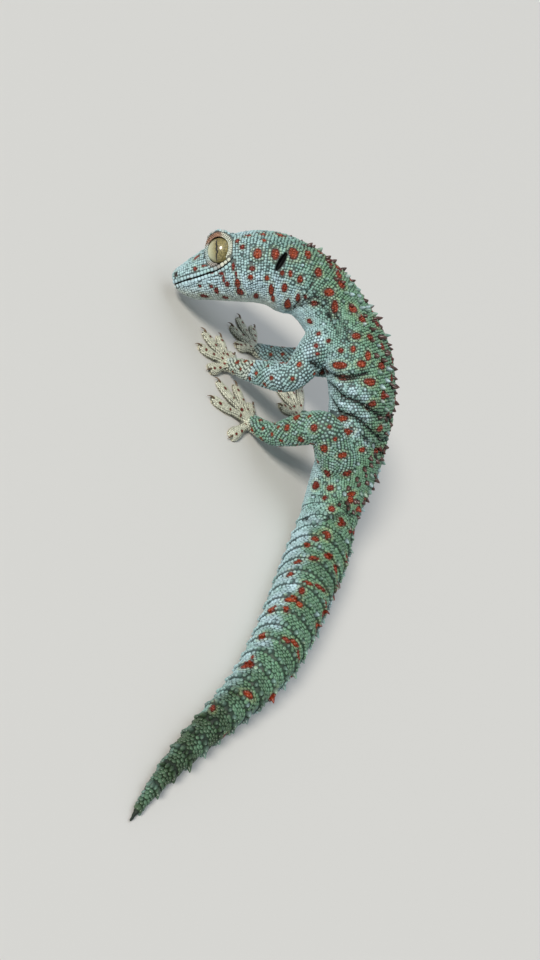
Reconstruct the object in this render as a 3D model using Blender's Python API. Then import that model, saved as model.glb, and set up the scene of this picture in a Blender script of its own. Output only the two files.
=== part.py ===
"""A life-size tokay gecko, still, on its four feet and its tail.

The animal faces -X, its left side is -Y and the floor is z = 0. Every place along the body is a
distance back from the tip of the snout, and every size is in millimetres until it becomes a mesh.
"""

import math
import random

import bmesh
import bpy
import numpy as np
from mathutils import Matrix, Vector

MM = 0.001
GAP = 0.3  # clear space between two parts that touch
SEED = 7

# The line through the middle of the body, from the snout to the tip of the tail: x, y, z.
BODY_LINE = (
    (-41.0, -22.0, 4.6), (-36.1, -18.0, 17.1), (-31.2, -14.1, 29.5),
    (-25.0, -10.0, 39.0), (-17.0, -5.8, 44.6), (-8.5, -2.4, 46.3), (0.0, 0.0, 46.0),
    (11.0, 1.0, 45.5), (23.0, 1.0, 42.5), (34.0, 0.0, 36.8), (44.0, -1.5, 29.0),
    (52.0, -4.5, 21.5), (60.5, -11.0, 14.5), (70.0, -23.0, 10.3), (79.5, -46.0, 9.0),
    (88.5, -71.0, 7.9), (93.2, -92.0, 6.6), (94.6, -111.0, 5.0), (95.4, -128.0, 3.6),
    (96.6, -140.0, 2.4), (98.2, -149.0, 1.4), (100.0, -156.0, 0.7),
)
# Distance from the snout, half width, height above the line, depth below it.
GIRTH = (
    (0.0, 1.8, 1.0, 2.2), (0.8, 4.2, 2.1, 4.1), (2.5, 6.0, 3.1, 6.2), (6.5, 8.4, 5.0, 8.6),
    (13.0, 10.8, 7.7, 10.0), (19.0, 12.8, 9.8, 11.3), (25.0, 14.6, 11.6, 12.4),
    (31.0, 16.4, 12.2, 13.0), (37.0, 16.0, 11.9, 13.8), (43.0, 14.2, 11.0, 15.0),
    (48.0, 13.6, 10.4, 15.0), (54.0, 13.6, 10.0, 13.4), (62.0, 14.6, 10.3, 12.4), (72.0, 15.6, 11.3, 11.8),
    (88.0, 16.8, 12.0, 10.8), (102.0, 17.0, 12.0, 10.0), (116.0, 15.2, 11.6, 10.6),
    (128.0, 13.0, 11.4, 10.8), (140.0, 11.0, 10.4, 10.0), (150.0, 10.2, 10.0, 9.8),
    (165.0, 10.6, 9.9, 10.4), (190.0, 9.6, 9.0, 9.6), (215.0, 8.4, 7.9, 8.4),
    (236.0, 6.4, 6.2, 6.6), (254.0, 4.7, 4.6, 5.0), (271.0, 3.4, 3.3, 3.7),
    (282.0, 2.3, 2.2, 2.5), (291.0, 1.2, 1.1, 1.3), (296.0, 0.5, 0.5, 0.6),
)
# Roundness of the cross-section, as the power of a superellipse, by distance from the snout.
ROUNDNESS = ((0.0, 2.0), (20.0, 2.35), (45.0, 2.2), (100.0, 2.1), (160.0, 2.3), (300.0, 2.0))

# Each length of the body: its name, where it ends and the spacing and sides of its rings.
HEAD_END = 43.0
TAIL_START = 147.0
TAIL_TIP = 295.0
WHORL = 6.6  # length of one ring of tail scales
WHORL_STEP = 0.5  # how far a whorl's rear edge stands out, where the tail is at least WHORL_THICK thick
WHORL_THICK = 6.0
WHORL_SLOPE = 0.35  # length of the step from one whorl down to the next
LENGTHS = (
    ("neck", HEAD_END, 61.0), ("chest", 61.0, 86.0), ("belly", 86.0, 112.0),
    ("pelvis", 112.0, TAIL_START),
)
TAIL_PARTS = 5
RING_STEP = 4.4
BODY_SIDES = 24
LEVEL_FROM, LEVEL_BY = 100.0, 150.0  # where the body's left way turns level with the floor
ROOT_FROM, ROOT_BY = 50.0, 150.0  # the stretch of the trunk that limbs grow from
HEAD_SIDES = 28
TAIL_SIDES = 18

# The head, in places (distance from the snout, height above the line), in the frame of one station.
HEAD_STATION = 12.0
HEAD_RINGS = (
    0.0, 0.8, 2.5, 4.5, 7.0, 10.0, 13.0, 16.0, 19.0, 22.0, 25.0, 28.0, 31.0, 34.0, 37.0, 40.0, HEAD_END,
)
MOUTH = (
    (-4.0, -2.9), (0.0, -2.7), (6.0, -2.1), (11.0, -1.7), (16.0, -1.1), (19.5, -0.7), (22.5, 0.3),
    (25.0, 1.5), (26.4, 2.8),
)
JAW_ANGLE = ((28.5, 1.6), (34.0, -7.0), (37.0, -24.0))
JAW_REACH = 26.0
JAW_FLOOR = -30.0
LIP_RUN = (22.0, 18.5, 15.0, 11.5, 8.5, 5.5, 3.2, 1.6, 0.7)
LIP_LEAST_OUT = 0.6
LIP_RADIUS = 0.8
LIP_RISE = 1.1
LIP_SINK = 0.4
EYE_AT = (21.3, 8.3, 5.5)  # distance from the snout, out from the middle, height
EYE_RADIUS = 5.2
EYE_LOOK = (0.14, 0.96, 0.18)  # forward, out, up
ORBIT_RADII = (6.1, 6.5, 6.2)  # across the eye, over it and along its look
ORBIT_BACK = 1.2
ORBIT_RISE = 0.5  # how far the dome's middle lies above the eye's
RIM_RADII = (4.7, 5.4)  # across the eye and over it
RIM_THICK = 0.85
RIM_OUT = 2.2
EAR_AT = (40.6, 4.2)
EAR_HALF = (1.05, 3.9, 2.8)  # half width, half length, depth
EAR_LEAN = 71.0
NOSTRIL_AT = (2.4, 0.8)
NOSTRIL_RADIUS = 0.75

# A limb's line from inside the trunk to the middle of the sole, and its radii.
ARM_RADII = (6.4, 6.2, 5.6, 5.0, 5.4, 5.0, 4.2, 3.5, 2.8)
LEG_RADII = (8.2, 8.4, 7.2, 6.0, 5.8, 5.4, 4.4, 3.7, 3.0)
LIMBS = {
    "arm_left": ((4.0, -8.0, 42.0), (13.5, -20.5, 28.5), (1.5, -13.5, 10.0), (-4.5, -10.5, 2.6)),
    "arm_right": ((4.0, 10.0, 42.0), (13.5, 22.0, 28.0), (-1.0, 16.5, 9.5), (-8.0, 14.0, 2.6)),
    "leg_left": ((50.0, -8.0, 24.0), (33.0, -22.0, 32.0), (27.5, -18.5, 9.5), (19.0, -16.0, 2.6)),
    "leg_right": ((50.0, 3.0, 24.0), (35.0, 20.5, 32.0), (32.0, 22.0, 9.0), (24.0, 23.5, 2.6)),
}
LIMB_SIDES = 10
LIMB_STEP = 3.6
JOINT_SHARE = 0.3  # how far along its lengths a limb bends at a joint
JOINT_ROUND = 0.4  # how much of the corner the bend cuts off
CREASE = 0.08  # how fast a limb's rings leave the plane of a joint on the inside of its bend

# Digits: the way each points, in degrees out from the limb's forward way, and its length.
FINGERS = ((-78.0, 10.5), (-38.0, 14.0), (0.0, 16.0), (36.0, 15.5), (76.0, 13.0))
TOES = ((-70.0, 12.0), (-32.0, 17.0), (2.0, 20.0), (34.0, 20.5), (84.0, 16.0))
FOOT_TURN = {"arm_left": 12.0, "arm_right": -12.0, "leg_left": 14.0, "leg_right": -20.0}
# Along a digit: share of its length, half width, height of the top.
DIGIT = ((0.0, 1.9, 3.5), (0.4, 1.7, 3.0), (0.72, 2.6, 2.2), (0.92, 2.3, 1.6), (1.0, 0.8, 0.9))
DIGIT_EDGE = 0.25  # height of a digit's sides, as a share of its top
DIGIT_SOLE = 0.8  # width of a digit's flat, as a share of its own
CLAW_LENGTH = 1.7
# Along a claw: share of its length, radius, height.
CLAW = ((-0.9, 0.6, 1.1), (0.2, 0.5, 1.25), (1.0, 0.15, 0.6))

# Raised scales: half width at the root and height, and how they lie.
SMALL, MEDIUM, LARGE = (0.95, 0.8), (1.15, 1.2), (1.35, 1.6)
SPIKE_SIDES = 5
SPIKE_SINK = 1.1
SPIKE_LEAN = 0.55
ROWS = ((8.0, MEDIUM), (25.0, LARGE), (42.0, LARGE), (59.0, MEDIUM), (76.0, MEDIUM))  # degrees from the back
ROW_STEP = 6.4
ROW_JITTER = 0.7
ROWS_START = 30.0
SEAM_CLEAR = 2.1
TAIL_ROWS = (15.0, 43.0, 72.0)
TAIL_ROWS_END = 284.0
TAIL_SPIKE_CLEAR = 0.5  # from a whorl's rear edge
TIP_SHARE = 0.35  # size of a raised scale at the thinnest place, as a share of that at the tail's root
LIMB_CLEAR = 3.2

SKIN = (0.36, 0.50, 0.47, 1.0)
PALE_SKIN = (0.62, 0.66, 0.56, 1.0)
EYE_COLOUR = (0.45, 0.42, 0.20, 1.0)


def clear_scene():
    """Removes what a new scene holds."""
    for item in list(bpy.data.objects):
        bpy.data.objects.remove(item, do_unlink=True)


def spline(knots, values, at):
    """A natural cubic spline through values at the knots."""
    count = len(knots)
    step = np.diff(knots)
    matrix = np.eye(count)
    right = np.zeros((count, values.shape[1]))
    for i in range(1, count - 1):
        matrix[i, i - 1:i + 2] = step[i - 1], 2 * (step[i - 1] + step[i]), step[i]
        right[i] = 6 * ((values[i + 1] - values[i]) / step[i] - (values[i] - values[i - 1]) / step[i - 1])
    bend = np.linalg.solve(matrix, right)
    i = np.clip(np.searchsorted(knots, at, side="right") - 1, 0, count - 2)
    h = step[i][:, None]
    a = ((knots[i + 1] - at)[:, None]) / h
    b = 1 - a
    curve = a * values[i] + b * values[i + 1]
    return curve + ((a ** 3 - a) * bend[i] + (b ** 3 - b) * bend[i + 1]) * h ** 2 / 6


def smooth_table(table, at):
    """Each column of a table, eased between its rows without overshooting them."""
    rows = np.array(table)
    knots, values = rows[:, 0], rows[:, 1:]
    slope = np.diff(values, axis=0) / np.diff(knots)[:, None]
    tangent = np.vstack((slope[:1], (slope[1:] + slope[:-1]) / 2, slope[-1:]))
    turns = np.vstack((slope[:1], slope[:-1])) * np.vstack((slope[:1], slope[1:])) <= 0
    tangent[:-1][turns] = 0
    limit = 3 * np.minimum(np.abs(np.vstack((slope[:1], slope))), np.abs(np.vstack((slope, slope[-1:]))))
    tangent = np.clip(tangent, -limit, limit)
    at = np.clip(at, knots[0], knots[-1])
    i = np.clip(np.searchsorted(knots, at, side="right") - 1, 0, len(knots) - 2)
    h = np.diff(knots)[i][:, None]
    t = ((at - knots[i])[:, None]) / h
    low = (1 + 2 * t) * (1 - t) ** 2 * values[i] + t * (1 - t) ** 2 * h * tangent[i]
    high = t * t * (3 - 2 * t) * values[i + 1] + t * t * (t - 1) * h * tangent[i + 1]
    return low + high


class Line:
    """A smooth line through a few points, read by distance from its start."""

    def __init__(self, points):
        points = np.array(points)
        chord = np.concatenate(((0,), np.cumsum(np.linalg.norm(np.diff(points, axis=0), axis=1))))
        self.points = spline(chord, points, np.linspace(0, chord[-1], 1200))
        steps = np.linalg.norm(np.diff(self.points, axis=0), axis=1)
        self.along = np.concatenate(((0,), np.cumsum(steps)))
        self.length = self.along[-1]

    def at(self, distance):
        return np.array([np.interp(distance, self.along, self.points[:, k]) for k in range(3)])

    def ahead(self, distance):
        """The unit direction away from the start."""
        step = self.at(min(distance + 0.2, self.length)) - self.at(max(distance - 0.2, 0.0))
        return step / np.linalg.norm(step)


class Body:
    """The body's line with a frame of forward, left and up at each place along it."""

    def __init__(self):
        self.line = Line(BODY_LINE)

    def frame(self, distance):
        forward = -self.line.ahead(distance)
        level = np.cross((0, 0, 1), forward)
        level /= np.linalg.norm(level)
        share = np.clip((distance - LEVEL_FROM) / (LEVEL_BY - LEVEL_FROM), 0, 1)
        left = (1 - share) * np.array((0.0, -1.0, 0.0)) + share * level
        left -= (left @ forward) * forward
        left /= np.linalg.norm(left)
        return self.line.at(distance), forward, left, np.cross(forward, left)

    def girth(self, distance):
        half, top, bottom = smooth_table(GIRTH, np.array([distance]))[0]
        power = smooth_table(ROUNDNESS, np.array([distance]))[0][0]
        return half, top, bottom, power

    def surface(self, distance, angle, rise=0.0):
        """A point of the skin and its outward way; the angle runs from the back to the left."""
        middle, _, left, up = self.frame(distance)
        half, top, bottom, power = self.girth(distance)
        side, high = math.sin(angle), math.cos(angle)
        tall = top if high > 0 else bottom
        reach = (abs(side / half) ** power + abs(high / tall) ** power) ** (-1 / power)
        out = side * left + high * up
        return middle + out * (reach + rise), out

    def ring(self, distance, sides, grow=0.0):
        turns = np.arange(sides) * 2 * math.pi / sides
        points = np.array([self.surface(distance, turn, grow)[0] for turn in turns])
        points[:, 2] = np.maximum(points[:, 2], -grow)
        return points

    def head_point(self, distance, out, height):
        """A place in the head, where the line is straight and the frame is the snout's."""
        middle, forward, left, up = self.frame(HEAD_STATION)
        return middle + (HEAD_STATION - distance) * forward + out * left + height * up

    def half_width_at(self, distance, height):
        """How far out the skin of the head lies at a height."""
        half, top, bottom, power = self.girth(distance)
        tall = top if height > 0 else bottom
        inside = max(1 - abs(height / tall) ** power, 0)
        return half * inside ** (1 / power)


def material(name, colour, roughness):
    made = bpy.data.materials.new(name)
    made.use_nodes = True
    shader = made.node_tree.nodes["Principled BSDF"]
    shader.inputs["Base Color"].default_value = colour
    shader.inputs["Roughness"].default_value = roughness
    return made


def mesh_object(name, points, faces):
    """An object of points in millimetres, with its faces turned to point out."""
    mesh = bpy.data.meshes.new(name)
    mesh.from_pydata([tuple(point * MM) for point in points], [], faces)
    made = bpy.data.objects.new(name, mesh)
    bpy.context.collection.objects.link(made)
    tidy = bmesh.new()
    tidy.from_mesh(mesh)
    bmesh.ops.recalc_face_normals(tidy, faces=tidy.faces)
    bmesh.ops.triangulate(tidy, faces=[face for face in tidy.faces if len(face.verts) > 4])
    tidy.to_mesh(mesh)
    tidy.free()
    return made


def loft(name, rings):
    """A closed solid through rings of the same number of points."""
    sides = len(rings[0])
    points = np.vstack(rings)
    faces = [tuple(range(sides)), tuple(range(len(points) - sides, len(points)))]
    for row in range(len(rings) - 1):
        for side in range(sides):
            after = (side + 1) % sides
            a, b = row * sides + side, row * sides + after
            faces.append((a, b, b + sides, a + sides))
    return mesh_object(name, points, faces)


def ball(name, middle, radii, axes, fine=2):
    """An ellipsoid whose radii lie along three axes."""
    shape = bmesh.new()
    bmesh.ops.create_icosphere(shape, subdivisions=fine, radius=1.0)
    places = np.array([vertex.co[:] for vertex in shape.verts])
    faces = [tuple(vertex.index for vertex in face.verts) for face in shape.faces]
    shape.free()
    turned = sum(np.outer(places[:, k] * radii[k], axes[k]) for k in range(3))
    return mesh_object(name, turned + middle, faces)


def tube(name, points, radius, sides=6):
    """A round bar through points, with flat ends."""
    points = np.array(points)
    rings = []
    for i, point in enumerate(points):
        way = points[min(i + 1, len(points) - 1)] - points[max(i - 1, 0)]
        across = np.cross(way, (0.3, 0.2, 1.0) if abs(way[2]) < np.linalg.norm(way) * 0.9 else (1, 0, 0))
        across /= np.linalg.norm(across)
        over = np.cross(way, across)
        over /= np.linalg.norm(over)
        turns = np.arange(sides) * 2 * math.pi / sides
        rings.append(point + radius * (np.outer(np.cos(turns), across) + np.outer(np.sin(turns), over)))
    return loft(name, rings)


def combine(target, others, operation, solver="MANIFOLD"):
    """Joins or cuts a target with other closed meshes in one step, and removes them."""
    if not others:
        return target
    group = bpy.data.collections.new("tools")
    bpy.context.scene.collection.children.link(group)
    for item in others:
        for home in list(item.users_collection):
            home.objects.unlink(item)
        group.objects.link(item)
    step = target.modifiers.new("step", "BOOLEAN")
    step.operation = operation
    step.solver = solver
    step.operand_type = "COLLECTION"
    step.collection = group
    graph = bpy.context.evaluated_depsgraph_get()
    result = bpy.data.meshes.new_from_object(target.evaluated_get(graph))
    target.modifiers.clear()
    target.data = result
    for item in others:
        bpy.data.objects.remove(item, do_unlink=True)
    bpy.data.collections.remove(group)
    return keep_largest(target)


def keep_largest(target):
    """Keeps the closed surface that holds most, and drops any scrap."""
    shape = bmesh.new()
    shape.from_mesh(target.data)
    bmesh.ops.triangulate(shape, faces=shape.faces)
    left, groups = set(shape.verts), []
    while left:
        front, group = [left.pop()], []
        while front:
            vertex = front.pop()
            group.append(vertex)
            for edge in vertex.link_edges:
                other = edge.other_vert(vertex)
                if other in left:
                    left.remove(other)
                    front.append(other)
        groups.append(group)

    def held(group):
        faces = {face for vertex in group for face in vertex.link_faces}
        return sum(f.verts[0].co.dot(f.verts[1].co.cross(f.verts[2].co)) for f in faces) / 6

    groups.sort(key=held)
    for group in groups[:-1]:
        bmesh.ops.delete(shape, geom=group, context="VERTS")
    shape.to_mesh(target.data)
    shape.free()
    return target


def prism(name, body, outline, reach):
    """A block through the head whose side view is an outline of (distance, height)."""
    count = len(outline)
    points = [body.head_point(d, out, h) for out in (-reach, reach) for d, h in outline]
    faces = [tuple(range(count)), tuple(range(2 * count - 1, count - 1, -1))]
    faces += [(i, (i + 1) % count, count + (i + 1) % count, count + i) for i in range(count)]
    return mesh_object(name, points, faces)


def shifted(points, amount):
    """A line of (distance, height) moved to its upper, rear side."""
    points = np.array(points)
    way = np.gradient(points, axis=0)
    way /= np.linalg.norm(way, axis=1)[:, None]
    return [tuple(p) for p in points + amount * np.column_stack((-way[:, 1], way[:, 0]))]


def mouth_height(distance):
    line = np.array(MOUTH)
    return float(np.interp(distance, line[:, 0], line[:, 1]))


def lip(body, name, rise):
    """A rounded lip, from one corner of the mouth round the snout to the other."""
    path = []
    for side in (1, -1):
        for distance in LIP_RUN if side > 0 else reversed(LIP_RUN):
            height = mouth_height(distance) + rise
            out = max(body.half_width_at(distance, height) - LIP_SINK, LIP_LEAST_OUT)
            path.append(body.head_point(distance, side * out, height))
    return tube(name, path, LIP_RADIUS)


def eye_axes(body, side):
    _, forward, left, up = body.frame(HEAD_STATION)
    look = EYE_LOOK[0] * forward + side * EYE_LOOK[1] * left + EYE_LOOK[2] * up
    look /= np.linalg.norm(look)
    across = np.cross(up, look)
    across /= np.linalg.norm(across)
    return across, np.cross(look, across), look


def eye_middle(body, side):
    return body.head_point(EYE_AT[0], side * EYE_AT[1], EYE_AT[2])


def eye(body, side, name):
    return ball(name, eye_middle(body, side), (EYE_RADIUS,) * 3, eye_axes(body, side), fine=3)


def orbit(body, side):
    """The raised ring round an eye and the dome that carries it."""
    axes = eye_axes(body, side)
    middle = eye_middle(body, side)
    dome = ball("dome", middle - ORBIT_BACK * axes[2] + ORBIT_RISE * axes[1], ORBIT_RADII, axes)
    turns = np.linspace(0, 2 * math.pi, 19)[:-1]
    ring, sides = [], 6
    for turn in turns:
        way = math.cos(turn) * axes[0] + math.sin(turn) * axes[1]
        at = middle + RIM_RADII[0] * math.cos(turn) * axes[0] + RIM_RADII[1] * math.sin(turn) * axes[1]
        at = at + RIM_OUT * axes[2]
        for k in range(sides):
            tilt = 2 * math.pi * k / sides
            ring.append(at + RIM_THICK * (math.cos(tilt) * way + math.sin(tilt) * axes[2]))
    faces = []
    for i in range(len(turns)):
        for k in range(sides):
            a, b = i * sides + k, i * sides + (k + 1) % sides
            c, d = ((i + 1) % len(turns)) * sides + (k + 1) % sides, ((i + 1) % len(turns)) * sides + k
            faces.append((a, b, c, d))
    return [dome, mesh_object("rim", ring, faces)]


def eye_socket(body, side):
    """The hollow that an eye fills, open to the outside."""
    axes = eye_axes(body, side)
    middle = eye_middle(body, side)
    return ball("socket", middle, (EYE_RADIUS + GAP,) * 3, axes, fine=3)


def ear(body, side):
    """The slanted slit of an ear."""
    _, forward, left, up = body.frame(EAR_AT[0])
    lean = math.radians(EAR_LEAN)
    long = -math.cos(lean) * forward + math.sin(lean) * up
    wide = math.sin(lean) * forward + math.cos(lean) * up
    middle = body.line.at(EAR_AT[0]) + EAR_AT[1] * up
    middle = middle + side * body.half_width_at(EAR_AT[0], EAR_AT[1]) * left
    return ball("ear", middle, EAR_HALF, (wide, long, side * left))


def nostril(body, side):
    _, forward, left, up = body.frame(HEAD_STATION)
    out = body.half_width_at(*NOSTRIL_AT)
    middle = body.head_point(NOSTRIL_AT[0], side * out, NOSTRIL_AT[1])
    return ball("nostril", middle, (NOSTRIL_RADIUS,) * 3, (forward, left, up))


def spike(body, distance, angle, size):
    """One raised scale: a cone with its root sunk in the skin and its tip leaning back."""
    at, out = body.surface(distance, angle)
    _, forward, _, _ = body.frame(distance)
    across = np.cross(out, forward)
    across /= np.linalg.norm(across)
    along = np.cross(across, out)
    half, height = size
    turns = np.arange(SPIKE_SIDES) * 2 * math.pi / SPIKE_SIDES
    root = at - SPIKE_SINK * out + half * (np.outer(np.cos(turns), along) + np.outer(np.sin(turns), across))
    tip = at + height * (out - SPIKE_LEAN * forward)
    faces = [(i, (i + 1) % SPIKE_SIDES, SPIKE_SIDES) for i in range(SPIKE_SIDES)]
    faces.append(tuple(range(SPIKE_SIDES)))
    return mesh_object("spike", np.vstack((root, tip)), faces)


def clear_of_limbs(place, limbs):
    """Whether a place on the skin is outside every limb's root."""
    for line, stations, radii in limbs:
        apart = np.linalg.norm(line.points - place, axis=1)
        if (apart < np.interp(line.along, stations, radii) + LIMB_CLEAR).any():
            return False
    return True


def skin_spikes(body, start, end, limbs, draw):
    """The raised scales of the back and flanks between two places, in staggered rows."""
    found = []
    for number, (turn, row_size) in enumerate(ROWS):
        for side in (1, -1):
            place = ROWS_START + (number % 2) * ROW_STEP / 2
            while place < TAIL_START:
                at = place + draw.uniform(-ROW_JITTER, ROW_JITTER)
                angle = side * math.radians(turn + draw.uniform(-2.0, 2.0))
                place += ROW_STEP
                if not start + SEAM_CLEAR < at < end - SEAM_CLEAR:
                    continue
                if clear_of_limbs(body.surface(at, angle)[0], limbs):
                    found.append(spike(body, at, angle, SMALL if at < HEAD_END else row_size))
    return found


def make_head(body, limbs, draw):
    """The head and the lower jaw, parted by the line of the mouth, and the eyes."""
    whole = loft("head", [body.ring(place, HEAD_SIDES) for place in HEAD_RINGS])
    upper = lip(body, "upper_lip", LIP_RISE)
    lower = lip(body, "lower_lip", -LIP_RISE)
    raised = skin_spikes(body, ROWS_START, HEAD_END, limbs, draw)
    combine(whole, orbit(body, 1) + orbit(body, -1) + [upper, lower] + raised, "UNION")
    line = list(MOUTH) + list(JAW_ANGLE)
    below = ((JAW_ANGLE[-1][0], JAW_FLOOR), (MOUTH[0][0], JAW_FLOOR))
    jaw = whole.copy()
    jaw.data = whole.data.copy()
    jaw.name = "jaw"
    bpy.context.collection.objects.link(jaw)
    combine(jaw, [prism("region", body, list(line) + list(below), JAW_REACH)], "INTERSECT")
    combine(jaw, [eye_socket(body, 1), eye_socket(body, -1)], "DIFFERENCE")
    above = shifted(line, GAP)
    above_below = ((above[-1][0], JAW_FLOOR), (above[0][0], JAW_FLOOR))
    cuts = [prism("region", body, above + list(above_below), JAW_REACH)]
    for side in (1, -1):
        cuts += [eye_socket(body, side), ear(body, side), nostril(body, side)]
    combine(whole, cuts, "DIFFERENCE")
    return [whole, jaw, eye(body, 1, "eye_left"), eye(body, -1, "eye_right")]


def spaced(start, end, step):
    return np.linspace(start, end, max(2, round((end - start) / step) + 1))


def make_trunk(body, limbs, draw):
    """The neck, chest, belly and pelvis, each a length between flat ends."""
    made = []
    for name, start, end in LENGTHS:
        places = spaced(start + GAP / 2 if made else start + GAP, end - GAP / 2, RING_STEP)
        length = loft(name, [body.ring(place, BODY_SIDES) for place in places])
        made.append(combine(length, skin_spikes(body, start, end, limbs, draw), "UNION"))
    return made


def make_tail(body):
    """The tail in lengths of whole whorls, each whorl wider at its rear edge."""
    made = []
    whorls = round((TAIL_TIP - TAIL_START) / WHORL)
    edges = TAIL_START + (TAIL_TIP - TAIL_START) * np.linspace(0, 1, whorls + 1)
    ends = np.round(np.linspace(0, whorls, TAIL_PARTS + 1)).astype(int)
    for part in range(TAIL_PARTS):
        rings = []
        for whorl in range(ends[part], ends[part + 1]):
            start, end = edges[whorl], edges[whorl + 1]
            first = whorl == ends[part]
            last = whorl == ends[part + 1] - 1
            step = 0.0 if end >= TAIL_TIP else WHORL_STEP * min(1.0, body.girth(start)[0] / WHORL_THICK)
            rings.append(body.ring(start + (GAP / 2 if first else WHORL_SLOPE), TAIL_SIDES))
            rings.append(body.ring(end - (GAP / 2 if last else WHORL_SLOPE), TAIL_SIDES, step))
        for ring in rings:
            ring[:, 2] = np.maximum(ring[:, 2], 0.0)
        length = loft(f"tail_{part + 1}", rings)
        spikes = []
        for end in edges[ends[part] + 1:ends[part + 1] + 1]:
            if end > TAIL_ROWS_END:
                continue
            share = body.girth(end)[0] / body.girth(TAIL_START)[0]
            size = np.array(LARGE) * (TIP_SHARE + (1 - TIP_SHARE) * share)
            place = end - size[0] - TAIL_SPIKE_CLEAR
            for turn in TAIL_ROWS:
                spikes += [spike(body, place, side * math.radians(turn), size) for side in (1, -1)]
        made.append(combine(length, spikes, "UNION"))
    return made


def limb_rings(line, radii, start, end):
    """Round rings along a limb, pressed flat at the floor and kept between the planes of its ends."""
    stations = np.linspace(0, line.length, len(radii))
    rings = []
    for place in spaced(start + GAP / 2, end - GAP / 2, LIMB_STEP):
        radius = np.interp(place, stations, radii)
        way = line.ahead(place)
        across = np.cross(way, (0.0, 0.0, 1.0))
        across /= np.linalg.norm(across)
        over = np.cross(across, way)
        turns = np.arange(LIMB_SIDES) * 2 * math.pi / LIMB_SIDES
        round_way = np.outer(np.cos(turns), across) + np.outer(np.sin(turns), over)
        ring = line.at(place) + radius * round_way
        for stop, side in ((start, 1), (end, -1)):
            room = GAP / 2 + CREASE * (abs(place - stop) - GAP / 2)
            depth = side * (ring - line.at(stop)) @ line.ahead(stop)
            ring += np.outer(np.maximum(room - depth, 0.0), side * line.ahead(stop))
        ring[:, 2] = np.maximum(ring[:, 2], 0.0)
        rings.append(ring)
    return rings


def digit(root, heading, length):
    """One padded digit, flat on the floor, with a claw over its tip."""
    way = np.array((math.cos(heading), math.sin(heading), 0.0))
    across = np.array((-way[1], way[0], 0.0))
    rings = []
    for share, half, top in DIGIT:
        middle = np.array((root[0], root[1], 0.0)) + way * length * share
        turns = np.linspace(0, math.pi, 5)
        rises = top * (DIGIT_EDGE + (1 - DIGIT_EDGE) * np.sin(turns))
        arch = [middle + across * half * math.cos(t) + np.array((0, 0, rise)) for t, rise in zip(turns, rises)]
        sole = [middle - across * half * DIGIT_SOLE, middle + across * half * DIGIT_SOLE]
        rings.append(np.array(arch + sole))
    pad = loft("digit", rings)
    tip = np.array((root[0], root[1], 0.0)) + way * length
    claw_rings = []
    for share, radius, height in CLAW:
        middle = tip + way * CLAW_LENGTH * share + np.array((0, 0, height))
        turns = np.arange(4) * math.pi / 2
        round_way = np.outer(np.cos(turns), across) + np.outer(np.sin(turns), (0, 0, 1.0))
        claw_rings.append(middle + radius * round_way)
    return [pad, loft("claw", claw_rings)]


def bent(points):
    """A limb's points, with more at each joint, so that it turns there and is straighter between."""
    points = np.array(points)
    rows = [points[0]]
    for before, joint, after in zip(points, points[1:], points[2:]):
        near = joint + JOINT_SHARE * (before - joint)
        far = joint + JOINT_SHARE * (after - joint)
        rows += [near, JOINT_ROUND * (near + far) / 2 + (1 - JOINT_ROUND) * joint, far]
    return np.array(rows + [points[-1]])


def limb_line(name):
    """A limb's smooth line, the stations along it and its radius at each."""
    radii = ARM_RADII if name.startswith("arm") else LEG_RADII
    line = Line(bent(LIMBS[name]))
    return line, np.linspace(0, line.length, len(radii)), radii


def make_limb(name):
    """A limb in three nodes: upper length, lower length and the padded hand or foot."""
    points = LIMBS[name]
    fore = name.startswith("arm")
    side = name.split("_")[1]
    names = ("upper_arm", "forearm", "hand") if fore else ("thigh", "shank", "foot")
    line, _, radii = limb_line(name)
    joints = [line.along[np.argmin(np.linalg.norm(line.points - np.array(p), axis=1))] for p in points[1:3]]
    upper = loft(f"{names[0]}_{side}", limb_rings(line, radii, 0.0, joints[0]))
    lower = loft(f"{names[1]}_{side}", limb_rings(line, radii, joints[0], joints[1]))
    palm = loft(f"{names[2]}_{side}", limb_rings(line, radii, joints[1], line.length))
    sole = np.array(points[3])
    turn = math.pi + math.radians(FOOT_TURN[name])
    outward = 1 if side == "left" else -1
    digits = []
    for angle, length in FINGERS if fore else TOES:
        digits += digit(sole, turn + outward * math.radians(angle), length)
    combine(palm, digits, "UNION")
    return [upper, lower, palm]


def carve_root(body, piece, start, end):
    """Cuts a limb's root away where the trunk fills it."""
    rings = [body.ring(place, BODY_SIDES, GAP) for place in spaced(start, end, RING_STEP)]
    return combine(piece, [loft("trunk", rings)], "DIFFERENCE")


def stand(parts):
    """Puts the middle of the footprint at the origin."""
    corners = np.vstack([[v.co[:] for v in part.data.vertices] for part in parts])
    low, high = corners.min(axis=0), corners.max(axis=0)
    middle = Vector(((low[0] + high[0]) / 2, (low[1] + high[1]) / 2, low[2]))
    for part in parts:
        part.data.transform(Matrix.Translation(-middle))


def main():
    clear_scene()
    body = Body()
    draw = random.Random(SEED)
    lines = [limb_line(name) for name in LIMBS]
    parts = make_head(body, lines, draw) + make_trunk(body, lines, draw) + make_tail(body)
    for name in LIMBS:
        limb = make_limb(name)
        carve_root(body, limb[0], ROOT_FROM, ROOT_BY)
        parts += limb
    stand(parts)
    skin = material("skin", SKIN, 0.6)
    pale = material("pale_skin", PALE_SKIN, 0.65)
    iris = material("eye", EYE_COLOUR, 0.15)
    for part in parts:
        part.data.materials.clear()
        pads = part.name.startswith(("hand", "foot"))
        part.data.materials.append(iris if part.name.startswith("eye") else pale if pads else skin)
        part.data.shade_smooth()


main()
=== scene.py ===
"""The looks of a life-size tokay gecko that stands on its four feet and its tail.

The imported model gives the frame. Every size here is in millimetres until it becomes a mesh, and every
place is in the part's building coordinates: the animal faces -X, its left side is -Y, the floor is z = 0.
"""

from __future__ import annotations

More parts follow.
